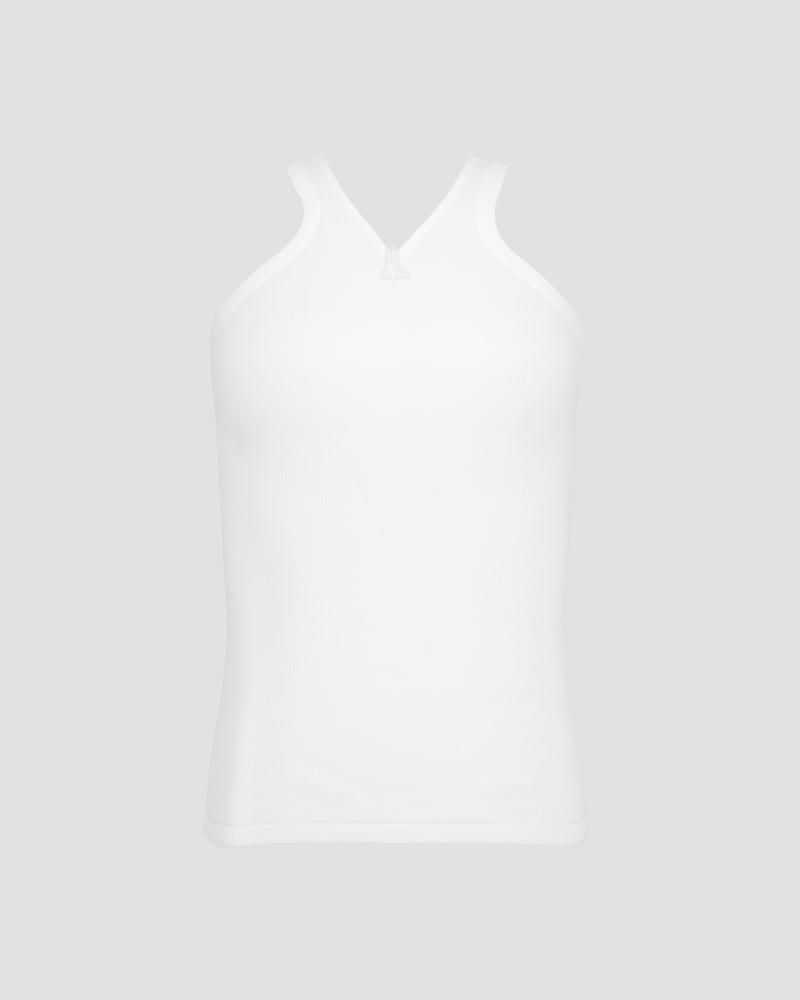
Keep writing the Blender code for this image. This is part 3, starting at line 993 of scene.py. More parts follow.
@dataclass(frozen=True)
class BindingKnit:
    """Matt white binding: the same knit laid across, so that fine ribs cross the band, with painted shade in
    the grooves between them.
    """

    colour: Triple = (0.915, 0.915, 0.923)
    rib: float = 0.0017
    loop: float = 0.0011
    loop_slant: float = 0.45
    loop_share: Pair = (0.4, 0.6)
    groove_from: float = 0.55
    fuzz_scale: float = 1700.0
    fuzz_detail: float = 3.0
    groove_shade: float = 0.08
    fuzz_shade: float = 0.05
    rib_relief: Relief = Relief(0.00013, 0.26)
    fuzz_relief: Relief = Relief(0.00004, 0.22)
    gloss: Gloss = Gloss((0.82, 0.93), specular=0.25, sheen=0.15)

    def material(self) -> Material:
        """The finish.

        Returns:
            The finish as a material.
        """
        n = Nodes("rib_binding")
        u, v, uv = n.place()
        off_middle = n.times(n.off_middle(n.share_of_turn(n.times(u, 1 / self.rib))), 2.0)
        groove = n.ramp(off_middle, self.groove_from, 1.0)
        loop = n.arch(n.times(off_middle, self.loop_slant, n.times(v, 1 / self.loop)))
        relief = n.times(n.times(loop, *self.loop_share), n.less(1.0, groove))
        fuzz = n.noise(uv, self.fuzz_scale, self.fuzz_detail)
        # Painted shade in the grooves between the fine ribs; the fuzz noise adds random tone.
        n.tint(self.colour, n.times(groove, self.groove_shade, n.times(fuzz, self.fuzz_shade)))
        n.emboss((relief, self.rib_relief), (fuzz, self.fuzz_relief))
        n.shine(fuzz, self.gloss)
        return n.material


@dataclass(frozen=True)
class RibbonWeave:
    """Soft white ribbon: a fine plain weave with a slight gloss, made as a lit copy and as a darker copy
    whose colour is painted shade.
    """

    name: str
    colour: Triple
    yarn: float = 0.00042
    uneven_scale: float = 260.0
    weave_shade: float = 0.03
    uneven_shade: float = 0.10
    relief: Relief = Relief(0.00002, 0.6)
    gloss: Gloss = Gloss((0.42, 0.58), specular=0.4, sheen=0.10)

    def material(self) -> Material:
        """The finish.

        Returns:
            The finish as a material.
        """
        n = Nodes(self.name)
        u, v, uv = n.place()
        weave = n.times(n.ripple(v, self.yarn), n.ripple(u, self.yarn))
        uneven = n.noise(uv, self.uneven_scale)
        n.tint(self.colour, n.times(weave, self.weave_shade, n.times(uneven, self.uneven_shade)))
        n.emboss((weave, self.relief))
        n.shine(uneven, self.gloss)
        return n.material


@dataclass(frozen=True)
class SewingThread:
    """White twisted thread."""

    colour: Triple = (0.86, 0.86, 0.866)
    twist: float = 0.0006
    twist_shade: float = 0.08
    uneven_scale: float = 900.0
    relief: Relief = Relief(0.00005, 0.5)
    gloss: Gloss = Gloss((0.55, 0.75))

    def material(self) -> Material:
        """The finish.

        Returns:
            The finish as a material.
        """
        n = Nodes("sewing_thread")
        u, v, uv = n.place()
        turn = n.ripple(n.math("ADD", u, v), self.twist)
        n.tint(self.colour, n.times(turn, self.twist_shade, self.twist_shade))
        n.emboss((turn, self.relief))
        n.shine(n.noise(uv, self.uneven_scale), self.gloss)
        return n.material


@dataclass(frozen=True)
class Finishes:
    """The materials of the garment, made once."""

    knit: Material
    binding: Material
    # The two ribbon finishes are a lit and a shaded copy of one ribbon: the darker one's colour is painted
    # shade.
    ribbon_lit: Material
    ribbon_painted_shade: Material
    thread: Material


# ---------------------------------------------------------------- panels


def inside(loop: Array, points: Array) -> Array:
    """Which points lie in a loop.

    Args:
        loop: the loop's points, one a row.
        points: the points, one a row.

    Returns:
        True for each point that lies in it.
    """
    start, end = loop, np.roll(loop, -1, axis=0)
    px, py = points[:, :1], points[:, 1:]
    rises = (start[:, 1] > py) != (end[:, 1] > py)
    height = np.where(end[:, 1] == start[:, 1], 1.0, end[:, 1] - start[:, 1])
    crossing = start[:, 0] + (py - start[:, 1]) * (end[:, 0] - start[:, 0]) / height
    return np.sum(rises & (px < crossing), axis=1) % 2 == 1


def in_groups(loop: Array, points: Array, group: int = 3000) -> Array:
    """Which of many points lie in the loop, a few thousand at a time to save memory."""
    return np.concatenate([inside(loop, points[i : i + group]) for i in range(0, len(points), group)])


def distance_to(loop: Array, points: Array, spacing: float = 0.0003) -> Array:
    """The distance from points to a closed loop.

    Args:
        loop: the loop's points, one a row.
        points: the points, one a row.
        spacing: how far apart the places lie at which the loop is read.

    Returns:
        The distance of each point.
    """
    along = evenly_spaced(np.vstack([loop, loop[:1]]), spacing)
    tree = KDTree(len(along))
    for i, (x, y) in enumerate(along):
        tree.insert((x, y, 0.0), i)
    tree.balance()
    return np.array([tree.find((x, y, 0.0))[2] for x, y in points])


@dataclass
class Panel:
    """The front or the back: a fine rib knit, ribbed outside and plainer inside, with its hem turned up.

    Its sizes are in groups: the net of points, the wall, the ribs and how far the bust draws them flat, the
    bound edges with the ditch beside them, the side seams, the hem's fold, and the dent of its stitches.
    """

    cloth: ClothMap
    lines: CutLines
    side: Side
    name: str
    replaces: str

    steps_per_rib: int = 6
    row_step: float = 0.0062
    fine_step: float = 0.0030
    fine_from: float = -0.4000
    first_row: float = 0.0030
    above_stitch: float = 0.0035
    stitch_rows: tuple[float, ...] = (-0.0022, -0.0012, -0.0005, 0.0, 0.0005, 0.0012, 0.0024, 0.0045)
    hem_rows: tuple[float, ...] = (0.0085, 0.0045, 0.0020, 0.0009, 0.0003)
    joined_rows: float = 1.5
    clearance: float = 0.00045

    wall: float = 0.0011
    smooth_angle: float = 75.0

    ribs: int = 124
    rib_height: float = 0.00012
    rib_power: float = 2.6
    drawn_flat: float = 0.35
    drawn_level: float = -0.175
    drawn_reach: float = 0.075

    tuck: float = 0.0012
    bare_edge: float = 0.0016
    bound_level: float = -0.1700
    ditch_depth: float = 0.00026
    ditch_at: float = 0.0024
    ditch_width: float = 0.0009

    side_roll: float = 0.0016
    side_roll_depth: float = 0.0011

    hem_turn_up: float = 0.0165
    hem_band: float = 0.004
    hem_puff: float = 0.0005
    puff_rise: float = 0.0045
    puff_past_hem: float = 0.001
    puff_fall: float = 0.006
    hem_round: float = 0.0022
    hem_round_depth: float = 0.0011
    doubled_above: float = 0.0030
    doubled_rise: float = 0.0012

    stitch_dent: float = 0.0009
    dent_width: float = 0.0012
    dent_vary: float = 0.35
    dent_waves: float = 33.0
    dent_offset: float = 0.9

    @property
    def pitch(self) -> float:
        """The distance between two ribs along the cloth."""
        return 2 * self.cloth.half_panel / self.ribs

    @property
    def hem_run(self) -> float:
        """How far down the cloth the hem's edge lies."""
        return float(self.cloth.run_at(self.cloth.hem_level, self.side))

    @property
    def stitch_run(self) -> float:
        """How far down the cloth the hem's stitches lie."""
        return float(self.cloth.run_at(self.cloth.hem_level + self.hem_turn_up, self.side))

    def outline(self, step: float) -> Array:
        """The panel's outline on the map.

        Args:
            step: the distance between two points along the side and the shoulder.

        Returns:
            A loop of pairs from the centre of the hem.
        """
        sign = self.side.value
        neck = self.lines.neck(self.lines.neck_band - self.tuck)
        arm = self.lines.armhole(self.lines.armhole_band - self.tuck)
        on_front = self.side is Side.FRONT
        neck_seam, arm_seam = (
            line.seam[: line.crest + 1] if on_front else line.seam[line.crest :][::-1] for line in (neck, arm)
        )
        corner = np.array([self.cloth.half_panel, sign * self.hem_run])
        hem = evenly_spaced(np.array([[0.0, sign * self.hem_run], corner]), self.pitch / self.steps_per_rib)
        side_seam = evenly_spaced(np.array([corner, arm_seam[0]]), step)[1:-1]
        shoulder = evenly_spaced(np.array([arm_seam[-1], neck_seam[-1]]), step)[1:-1]
        right_half = np.vstack([hem, side_seam, arm_seam, shoulder, neck_seam[::-1]])
        left_half = right_half[1:-1][::-1] * np.array([-1.0, 1.0])
        loop = np.vstack([right_half, left_half])
        loop[:, 1] = sign * np.maximum(np.abs(loop[:, 1]), OFF_CREST)
        return loop

    def rows(self) -> Array:
        """Where the panel has rows of points, closer in the creased lower body.

        Returns:
            Distances down the cloth.
        """
        fine_from = self.cloth.run_at(self.fine_from, self.side)
        plain = np.arange(self.first_row, fine_from, self.row_step)
        fine = np.arange(fine_from + self.fine_step, self.stitch_run - self.above_stitch, self.fine_step)
        at_stitch = self.stitch_run + np.array(self.stitch_rows)
        at_hem = self.hem_run - np.array(self.hem_rows)
        return self.side.value * np.concatenate([plain, fine, at_stitch, at_hem])

    def filled(self, loop: Array, columns: Array, rows: Array, clearance: float) -> tuple[Array, Faces]:
        """A net of points that fills an outline.

        Args:
            loop: the outline, as pairs.
            columns: where its columns lie across the cloth.
            rows: where its rows lie down the cloth.
            clearance: how far the net stays off the outline.

        Returns:
            The pairs, the outline's own first, and the triangles between them.
        """
        grid = np.stack(np.meshgrid(columns, rows, indexing="ij"), axis=-1).reshape(-1, 2)
        grid = grid[in_groups(loop, grid)]
        grid = grid[distance_to(loop, grid) >= clearance]
        points = np.vstack([loop, grid])
        edges = [(i, (i + 1) % len(loop)) for i in range(len(loop))]
        column = np.round((grid[:, 0] - columns[0]) / (columns[1] - columns[0])).astype(int)
        near = np.abs(np.diff(grid[:, 1])) < self.joined_rows * self.row_step
        first = np.flatnonzero((np.diff(column) == 0) & near) + len(loop)
        edges += [(int(i), int(i) + 1) for i in first]
        made, _, faces, *_ = delaunay_2d_cdt(points.tolist(), edges, [], 1, SAME_POINT)
        assert len(made) == len(points), "two points of a panel lie on each other"
        return points, [tuple(f) for f in faces]

    def roll_lift(self, pairs: Array) -> Array:
        """The roll of the cloth into the side seams."""
        from_side = self.cloth.half_panel - np.abs(pairs[:, 0])
        return -self.side_roll_depth * (1 - rise(from_side, 0.0, self.side_roll))

    def rib_lift(self, pairs: Array) -> Array:
        """The height of the ribs: round on top, with a narrow groove between two.

        Args:
            pairs: places on the panel.

        Returns:
            The height at each place.
        """
        phase = (pairs[:, 0] + self.cloth.half_panel) / self.pitch
        from_middle = np.abs(2 * (phase - np.floor(phase)) - 1)
        drawn = self.drawn_flat * bell(self.cloth.level_at(pairs[:, 1]), self.drawn_level, self.drawn_reach)
        return self.rib_height * (1 - from_middle**self.rib_power) * (1 - drawn)

    def hem_lift(self, pairs: Array) -> Array:
        """The stitched dent above the hem, its puffed fold and the rounding of its lower edge.

        Args:
            pairs: places on the panel.

        Returns:
            The height at each place.
        """
        down = np.abs(pairs[:, 1])
        hem, stitch = self.hem_run, self.stitch_run
        uneven = 1 + self.dent_vary * np.sin(self.dent_waves * pairs[:, 0] + self.dent_offset)
        dent = -self.stitch_dent * uneven * bell(down, stitch, self.dent_width)
        before_hem = rise(-down, -hem - self.puff_past_hem, self.puff_fall)
        puff = self.hem_puff * rise(down, stitch, self.puff_rise) * before_hem
        rounding = -self.hem_round_depth * rise(down, hem - self.hem_round, self.hem_round) ** 2
        return dent + puff + rounding

    def outer_lift(self, loop: Array, pairs: Array) -> Array:
        """The height of the outer face above the worn form.

        Args:
            loop: the panel's outline.
            pairs: places on the panel.

        Returns:
            The height at each place.
        """
        from_edge = distance_to(loop, pairs)
        from_edge[np.abs(pairs[:, 1]) > self.hem_run - self.hem_band] = 1.0
        bound = self.cloth.level_at(pairs[:, 1]) > self.bound_level
        ditch = np.where(bound, bell(from_edge, self.ditch_at, self.ditch_width), 0.0)
        ribs = self.rib_lift(pairs) * rise(from_edge, 0.0, self.bare_edge)
        return self.roll_lift(pairs) + self.hem_lift(pairs) + ribs - self.ditch_depth * ditch

    def inner_lift(self, pairs: Array) -> Array:
        """The height of the inner face, which lies twice as deep where the hem is doubled."""
        doubled = rise(np.abs(pairs[:, 1]), self.stitch_run - self.doubled_above, self.doubled_rise)
        return self.roll_lift(pairs) - self.wall * (1 + doubled)

    def build(self, material: Material) -> Piece:
        """The panel as one closed wall.

        Args:
            material: its finish.

        Returns:
            The finished piece.
        """
        cloth = self.cloth
        loop = self.outline(self.row_step / 2)
        columns = np.linspace(-cloth.half_panel, cloth.half_panel, self.ribs * self.steps_per_rib + 1)[1:-1]
        outer, outer_faces = self.filled(loop, columns, self.rows(), self.clearance)
        inner_columns = columns[self.steps_per_rib - 1 :: self.steps_per_rib]
        inner, inner_faces = self.filled(loop, inner_columns, self.rows()[::2], 2 * self.clearance)
        outer_points = cloth.lifted(outer, self.outer_lift(loop, outer))
        inner_points = cloth.lifted(inner, self.inner_lift(inner))
        points = np.vstack([outer_points, inner_points])
        shift = len(outer)
        faces = list(outer_faces) + [tuple(i + shift for i in reversed(f)) for f in inner_faces]
        ahead = [(i, (i + 1) % len(loop)) for i in range(len(loop))]
        faces += [(i, j, j + shift, i + shift) for i, j in ahead]
        piece = make_piece(self.name, points, faces, np.vstack([outer, inner]), self.smooth_angle)
        face_outwards(piece)
        dress(piece, material, (self.replaces,))
        length = self.hem_run + self.hem_turn_up
        return piece


# ---------------------------------------------------------------- bindings


@dataclass
class Binding:
    """A folded band along an edge: crowned outside, rounded at its fold, and dipping into its seam.

    The rows of its cross-section are places and heights. `beside_seam` counts its places in overlaps from the
    seam, `over_band` and `behind_band` in shares of the width, and `before_fold` and `behind_fold` in fold
    radii from the edge. Heights are shares of `proud` outside, and depths are shares of the radius inside.
    """

    cloth: ClothMap
    lines: CutLines
    name: str
    replaces: str
    width: float
    proud: float = 0.00062
    thickness: float = 0.0027
    overlap: float = 0.0009
    outer_sink: float = 0.00035
    inner_sink: float = 0.0010
    from_seam: Pair = (0.6, 0.00002)
    beside_seam: tuple[Pair, ...] = ((0.0, 0.34), (0.9, 0.62), (1.9, 0.82))
    over_band: tuple[Pair, ...] = ((0.40, 1.0), (0.62, 1.06))
    before_fold: Pair = (1.8, 1.02)
    behind_fold: float = 2.2
    behind_band: tuple[Pair, ...] = ((0.5, 0.94), (0.0, 0.85))
    fold_points: int = 7
    pucker: float = 0.00012
    pucker_pitch: float = 0.0065
    pucker_drift: float = 1.7
    pucker_drift_rate: float = 61.0
    pucker_at: float = 0.12
    pucker_spread: float = 0.03
    smooth_angle: float = 60.0

    def profile(self) -> list[Pair]:
        """The band's cross-section.

        Returns:
            Shares of the width from seam to edge, each with its lift, from the outer seam to the inner.
        """
        radius = self.thickness / 2
        middle = self.proud - radius
        at_seam = self.overlap / self.width
        fold = radius / self.width
        outer = [(-at_seam, -self.outer_sink), (-self.from_seam[0] * at_seam, self.from_seam[1])]
        outer += [(place * at_seam, height * self.proud) for place, height in self.beside_seam]
        outer += [(place, height * self.proud) for place, height in self.over_band]
        outer += [(1 - self.before_fold[0] * fold, self.before_fold[1] * self.proud)]
        turn = np.linspace(0.5 * np.pi, -0.5 * np.pi, self.fold_points)
        rounded = [(1 - fold + fold * float(np.cos(a)), middle + radius * float(np.sin(a))) for a in turn]
        inner = [(1 - self.behind_fold * fold, middle - radius)]
        inner += [(place, middle - depth * radius) for place, depth in self.behind_band]
        return outer + rounded + inner + [(-at_seam, -self.inner_sink)]

    def rings(self, line: EdgeLine, hand: float = 1.0) -> tuple[Array, Array]:
        """The rings of points round the band, one for each station.

        Args:
            line: the edge and the seam on the left half.
            hand: 1 for the left half, -1 for the right.

        Returns:
            The points and their UVs, by station and by place round the band.
        """
        half = self.cloth.half_panel
        band = line.edge - line.seam
        outwards = unit(band)
        run = length_along(line.edge)
        drift = self.pucker_drift * np.sin(run * self.pucker_drift_rate)
        wave = self.pucker * np.sin(2 * np.pi * run / self.pucker_pitch + drift)
        points = []
        for share, lift in self.profile():
            pairs = line.seam + (outwards * share * self.width if share < 0 else band * share)
            pairs[:, 0] = hand * np.clip(pairs[:, 0], -half, half)
            near_seam = np.exp(-((share - self.pucker_at) ** 2) / self.pucker_spread) if lift > 0 else 0.0
            points.append(self.cloth.lifted(pairs, lift + wave * near_seam))
        rings = np.stack(points, axis=1)
        around = length_along(rings[len(run) // 2])
        return rings, np.stack(np.meshgrid(run, around, indexing="ij"), axis=-1)

    def finish(self, rings: Array, uvs: Array, length: float, material: Material) -> Piece:
        """The band as a finished piece, a closed ring round its whole cross-section. The band as a
        finished piece, declared by what shows of its strip: the outer layer and its fold.

        Args:
            rings: the rings of points round the band.
            uvs: their UVs.
            length: the band's length; not used.
            material: its finish.

        Returns:
            The piece.
        """
        faces = grid_faces(*rings.shape[:2], closed=True)
        piece = make_piece(self.name, rings.reshape(-1, 3), faces, uvs.reshape(-1, 2), self.smooth_angle)
        face_outwards(piece)
        dress(piece, material, (self.replaces,))
        return piece


@dataclass
class NeckBinding(Binding):
    """The neck's binding, a closed ring over both shoulders."""

    def build(self, material: Material) -> Piece:
        """The band as a piece.

        Args:
            material: its finish.

        Returns:
            The piece.
        """
        line = self.lines.neck()
        left, uv = self.rings(line)
        right, _ = self.rings(line, -1.0)
        left[line.crest, :, 1] = right[line.crest, :, 1] = 0.0
        half_length = uv[-1, 0, 0]
        uv_right = uv[1:-1][::-1].copy()
        uv_right[..., 0] = 2 * half_length - uv_right[..., 0]
        rings = np.vstack([left, right[1:-1][::-1]])
        return self.finish(rings, np.vstack([uv, uv_right]), 2 * half_length, material)


@dataclass
class ArmholeBinding(Binding):
    """One armhole's binding, a closed ring from under the arm over the shoulder."""

    hand: float = 1.0

    def build(self, material: Material) -> Piece:
        """The band as a piece.

        Args:
            material: its finish.

        Returns:
            The piece.
        """
        line = self.lines.armhole()
        rings, uv = self.rings(line, self.hand)
        rings[[0, line.crest], :, 1] = 0.0
        return self.finish(rings[:-1], uv[:-1], uv[-1, 0, 0], material)


# ---------------------------------------------------------------- the neck ribbon


@dataclass(frozen=True)
class RibbonTail:
    """One splayed tail: where its end lies, how wide it is there, and where the end bends."""

    node: str
    hand: float
    end_offset: float
    end_width: float
    dip_at: float
    dip: float


@dataclass
class NeckRibbon:
    """A narrow ribbon wrapped round the point of the neck, with two splayed tails and a short middle end.

    A stretch, such as `flare`, is a start and a length as shares of the tail. `fold` values lift a strip's
    middle, and `drop` values lower its two edges; `least_side` and `least_area` are not used. `least_side`
    and `least_area` are the least that a sheet may be declared with.
    """

    cloth: ClothMap
    lines: CutLines
    thickness: float = 0.00024
    shift: float = -0.0010
    rows: int = 61
    strip_points: int = 13
    fold_reach: float = 0.34
    edge_power: int = 4
    smooth_angle: float = 50.0
    least_side: float = 0.01
    least_area: float = 0.3

    tail_top: float = 0.0004
    tail_length: float = 0.0270
    tail_offset: float = 0.0026
    tail_width: float = 0.0054
    flare: Pair = (0.52, 0.43)
    off_binding: Pair = (0.26, 0.16)
    on_binding_lift: float = 0.00084
    step_down: float = 0.00038
    bulge: float = 0.00022
    bulge_before_dip: float = 0.11
    bulge_reach: float = 0.055
    dip_reach: float = 0.038
    end_sink: float = 0.00010
    end_stretch: Pair = (0.9, 0.1)
    tail_drop: float = 0.00056
    tail_drop_stretch: Pair = (0.18, 0.14)
    tail_drop_eased: float = 0.00034
    tail_fold: float = 0.00042
    tail_fold_eased: float = 0.8
    tails: tuple[RibbonTail, ...] = (
        RibbonTail("ribbon_tail_left", 1.0, 0.0063, 0.0138, 0.91, 0.00022),
        RibbonTail("ribbon_tail_right", -1.0, 0.0066, 0.0090, 0.87, 0.00028),
    )

    middle_shift: float = -0.0022
    middle_top: float = 0.0146
    middle_length: float = 0.0154
    middle_width: Pair = (0.0032, 0.0028)
    middle_lift: float = 0.00040
    middle_rise: float = 0.00030
    middle_rise_stretch: Pair = (0.0, 0.2)
    middle_fall_stretch: Pair = (0.6, 0.4)
    middle_fold: float = 0.00012
    middle_drop: float = 0.00022

    wrap_shift: float = 0.0006
    wrap_lean: float = 0.3
    wrap_lean_run: float = 0.012
    wrap_width: Pair = (0.0038, 0.0018)
    wrap_taper: float = 0.0050
    wrap_fold: float = 0.0001
    wrap_drop: float = 0.00026
    wrap_steps: int = 6
    wrap_path: tuple[Pair, ...] = (
        (0.0140, 0.0006),
        (0.0090, 0.0008),
        (0.0045, 0.0011),
        (0.0018, 0.0013),
        (-0.0012, 0.0013),
        (-0.0026, 0.0004),
        (-0.0022, -0.0014),
        (0.0000, -0.0024),
        (0.0060, -0.0024),
    )

    @property
    def point(self) -> float:
        """How far down the cloth the point of the neck lies."""
        return float(self.lines.neck().edge[0, 1])

    def strip(
        self,
        node: str,
        centre: Array,
        width: Array,
        fold: Array | float,
        drop: Array | float,
        material: Material,
    ) -> None:
        """A ribbon along a line of points.

        Args:
            node: the frame node that it stands for.
            centre: the ribbon's middle line, in metres.
            width: its width at each point of that line.
            fold: how far its middle stands out, at each point.
            drop: how far its two edges lie below the middle line, at each point.
            material: its finish.
        """
        even = np.ones(len(centre))
        across = np.linspace(-1.0, 1.0, self.strip_points)
        side = np.array([1.0, 0.0, 0.0])
        normal = unit(np.cross(unit(np.gradient(centre, axis=0)), side))
        lifted = bell(across, 0.0, self.fold_reach) * (fold * even)[:, None]
        lifted = lifted - across**self.edge_power * (drop * even)[:, None]
        aside = across[None, :] * width[:, None] / 2
        points = centre[:, None] + side * aside[..., None] + normal[:, None] * lifted[..., None]
        run = length_along(centre)
        uv = np.stack([aside, np.repeat(run[:, None], len(across), axis=1)], axis=-1).reshape(-1, 2)
        faces = grid_faces(len(centre), len(across))
        piece = make_piece(f"{node}_cloth", points.reshape(-1, 3), faces, uv, self.smooth_angle)
        bpy.ops.object.select_all(action="DESELECT")
        bpy.context.view_layer.objects.active = piece
        piece.select_set(True)
        solid = piece.modifiers.new("thickness", "SOLIDIFY")
        solid.thickness = self.thickness
        solid.offset = 0.0
        bpy.ops.object.modifier_apply(modifier=solid.name)
        piece.select_set(False)
        face_outwards(piece)
        dress(piece, material, (node,))

    def build_tails(self, material: Material) -> None:
        """Both tails, which come off the binding, widen, and bend at their ends.

        Args:
            material: their finish.
        """
        share = np.linspace(0.0, 1.0, self.rows)
        flare = rise(share, *self.flare)
        off_binding = rise(share, *self.off_binding)
        down = self.point + self.tail_top + self.tail_length * share
        drop = self.tail_drop * rise(share, *self.tail_drop_stretch) - self.tail_drop_eased * off_binding
        fold = self.tail_fold * (1 - self.tail_fold_eased * flare)
        plain_lift = self.on_binding_lift - self.step_down * off_binding
        plain_lift = plain_lift - self.end_sink * rise(share, *self.end_stretch)
        for tail in self.tails:
            offset = self.tail_offset + (tail.end_offset - self.tail_offset) * flare
            width = self.tail_width + (tail.end_width - self.tail_width) * flare
            pairs = np.column_stack([self.shift + tail.hand * offset, down])
            bulge = self.bulge * bell(share, tail.dip_at - self.bulge_before_dip, self.bulge_reach)
            lift = plain_lift + bulge - tail.dip * bell(share, tail.dip_at, self.dip_reach)
            self.strip(tail.node, self.cloth.lifted(pairs, lift), width, fold, drop, material)

    def build_middle(self, material: Material) -> None:
        """The short middle end, over both tails.

        Args:
            material: its finish.
        """
        share = np.linspace(0.0, 1.0, self.rows)
        width = self.middle_width[0] + (self.middle_width[1] - self.middle_width[0]) * share
        down = self.point + self.middle_top + self.middle_length * share
        pairs = np.column_stack([np.full(len(share), self.middle_shift), down])
        lift = self.middle_lift + self.middle_rise * rise(share, *self.middle_rise_stretch)
        lift = lift - self.middle_rise * rise(share, *self.middle_fall_stretch)
        centre = self.cloth.lifted(pairs, lift)
        self.strip("ribbon_end_middle", centre, width, self.middle_fold, self.middle_drop, material)

    def build_wrap(self, material: Material) -> None:
        """The wrap, from the tails over the neck's edge and down behind it.

        Args:
            material: its finish.
        """
        path = smooth_through(np.array(self.wrap_path), steps=self.wrap_steps)
        lean = np.clip(self.wrap_lean + path[:, 0] / self.wrap_lean_run, 0.0, 1.0)
        across = self.wrap_shift + self.shift * lean
        on_panel = np.column_stack([across, self.point + np.maximum(path[:, 0], 0.0)])
        above_edge = np.column_stack([np.zeros((len(path), 2)), np.maximum(-path[:, 0], 0.0)])
        centre = self.cloth.lifted(on_panel, path[:, 1]) + above_edge
        below, above = self.wrap_width
        width = above + (below - above) * rise(path[:, 0], 0.0, self.wrap_taper)
        self.strip("ribbon_wrap", centre, width, self.wrap_fold, self.wrap_drop, material)

    def build(self, face: Material, shaded_finish: Material) -> None:
        """All four pieces: the middle end in the lit finish, and the tails and the wrap in the darker finish,
        whose colour is painted shade.

        Args:
            face: the lit finish.
            shaded_finish: the darker finish, whose colour is painted shade.
        """
        self.build_tails(shaded_finish)
        self.build_middle(face)
        self.build_wrap(shaded_finish)


# ---------------------------------------------------------------- sewing


@dataclass
class Sewing:
    """The hem's stitches outside and inside, and the overlocked side seams inside."""

    cloth: ClothMap
    thread: float = 0.00042
    thread_sides: int = 6
    thread_rings: int = 5
    probe: float = 0.0005
    smooth_angle: float = 80.0
    stitch: float = 0.0024
    pitch: float = 0.0030
    sink: float = -0.00025
    on_rib: float = 0.5
    loop: float = 0.0044
    loop_turn: float = 0.70
    loop_rise: float = 0.0012
    loop_depth: float = 2.15
    loop_free: float = 0.0070
    overlock: float = 0.0052
    overlock_pitch: float = 0.0013
    overlock_turn: float = 0.22
    overlock_gap: float = 0.0006
    overlock_sink: float = 0.9
    overlock_levels: Pair = (-0.1700, -0.5520)

    def pattern(self) -> tuple[Array, Faces]:
        """One stitch as a small round body of unit size.

        Returns:
            Its points and its faces.
        """
        bpy.ops.object.select_all(action="DESELECT")
        bpy.ops.mesh.primitive_uv_sphere_add(
            segments=self.thread_sides, ring_count=self.thread_rings, radius=1.0
        )
        made = bpy.context.object
        shape = np.array([v.co for v in made.data.vertices], float)
        faces = [tuple(p.vertices) for p in made.data.polygons]
        bpy.data.objects.remove(made, do_unlink=True)
        return shape, faces

    def stitches(
        self, name: str, pairs: Array, lift: Array, turn: Array, length: float, material: Material
    ) -> None:
        """Stitches as one piece: one is modelled, and copied along a line.

        Args:
            name: the piece's name.
            pairs: the middle of each stitch on the cloth.
            lift: its height above the cloth.
            turn: its angle from the line across the cloth, in radians.
            length: the length of a stitch.
            material: the finish.
        """
        shape, faces = self.pattern()
        middle = self.cloth.lifted(pairs, lift)
        out = self.cloth.outward(pairs[:, 0], pairs[:, 1])
        step = self.probe * np.column_stack([np.cos(turn), np.sin(turn)])
        ahead = unit(self.cloth.place(*(pairs + step).T) - self.cloth.place(*(pairs - step).T))
        up = np.cross(out, ahead)
        points = (
            middle[:, None]
            + ahead[:, None] * (shape[:, 2] * length / 2)[None, :, None]
            + out[:, None] * (shape[:, 0] * self.thread / 2)[None, :, None]
            + up[:, None] * (shape[:, 1] * self.thread / 2)[None, :, None]
        )
        every = [tuple(i + k * len(shape) for i in f) for k in range(len(pairs)) for f in faces]
        uv = np.repeat(pairs, len(shape), axis=0) + np.tile(shape[:, 1:] * self.thread, (len(pairs), 1))
        piece = make_piece(name, points.reshape(-1, 3), every, uv, self.smooth_angle)
        face_outwards(piece)
        dress(piece, material)

    def hem_line(self, above: float, pitch: float) -> Array:
        """Stitches all round the garment above the hem.

        Args:
            above: how far above it they lie.
            pitch: the distance between two.

        Returns:
            The middle of each, as a pair.
        """
        runs = []
        for side in Side:
            count = round(2 * self.cloth.half_panel / pitch)
            across = side.value * (np.arange(count) + 0.5 - count / 2) * pitch
            down = side.value * self.cloth.run_at(self.cloth.hem_level + above, side)
            runs.append(np.column_stack([across, np.full(count, float(down))]))
        return np.vstack(runs)

    def side_line(self) -> Array:
        """Stitches down the back's edge of each side seam, over the overlock's middle.

        Returns:
            The middle of each, as a pair.
        """
        first, last = (float(self.cloth.run_at(level, Side.BACK)) for level in self.overlock_levels)
        down = -np.arange(first, last, self.overlock_pitch)
        across = np.full(len(down), self.cloth.half_panel - self.overlock_gap - self.overlock / 2)
        return np.vstack([np.column_stack([hand * across, down]) for hand in (1.0, -1.0)])

    def build(self, panels: dict[Side, Panel], material: Material) -> None:
        """The line of stitches outside, the loops behind it, and the overlock of the side seams.

        Args:
            panels: the front and the back.
            material: the thread's finish.
        """
        wall, turn_up = Panel.wall, Panel.hem_turn_up
        pairs = self.hem_line(turn_up, self.pitch)
        lift = np.zeros(len(pairs))
        for side, panel in panels.items():
            mine = np.sign(pairs[:, 1]) == side.value
            lift[mine] = panel.hem_lift(pairs[mine]) + self.on_rib * panel.rib_height
        self.stitches("hem_stitches", pairs, lift + self.sink, np.zeros(len(pairs)), self.stitch, material)
        pairs = self.hem_line(turn_up + self.loop_rise, self.pitch / 2)
        pairs = pairs[np.abs(pairs[:, 0]) < self.cloth.half_panel - self.loop_free]
        turn = self.loop_turn * np.where(np.arange(len(pairs)) % 2 == 0, 1.0, -1.0) + np.pi / 2
        lift = np.full(len(pairs), -self.loop_depth * wall)
        self.stitches("hem_loops", pairs, lift, turn, self.loop, material)
        pairs = self.side_line()
        turn = self.overlock_turn * np.sign(pairs[:, 0])
        lift = np.full(len(pairs), -wall - self.overlock_sink * self.thread)
        self.stitches("side_overlock", pairs, lift, turn, self.overlock, material)


# ---------------------------------------------------------------- studio


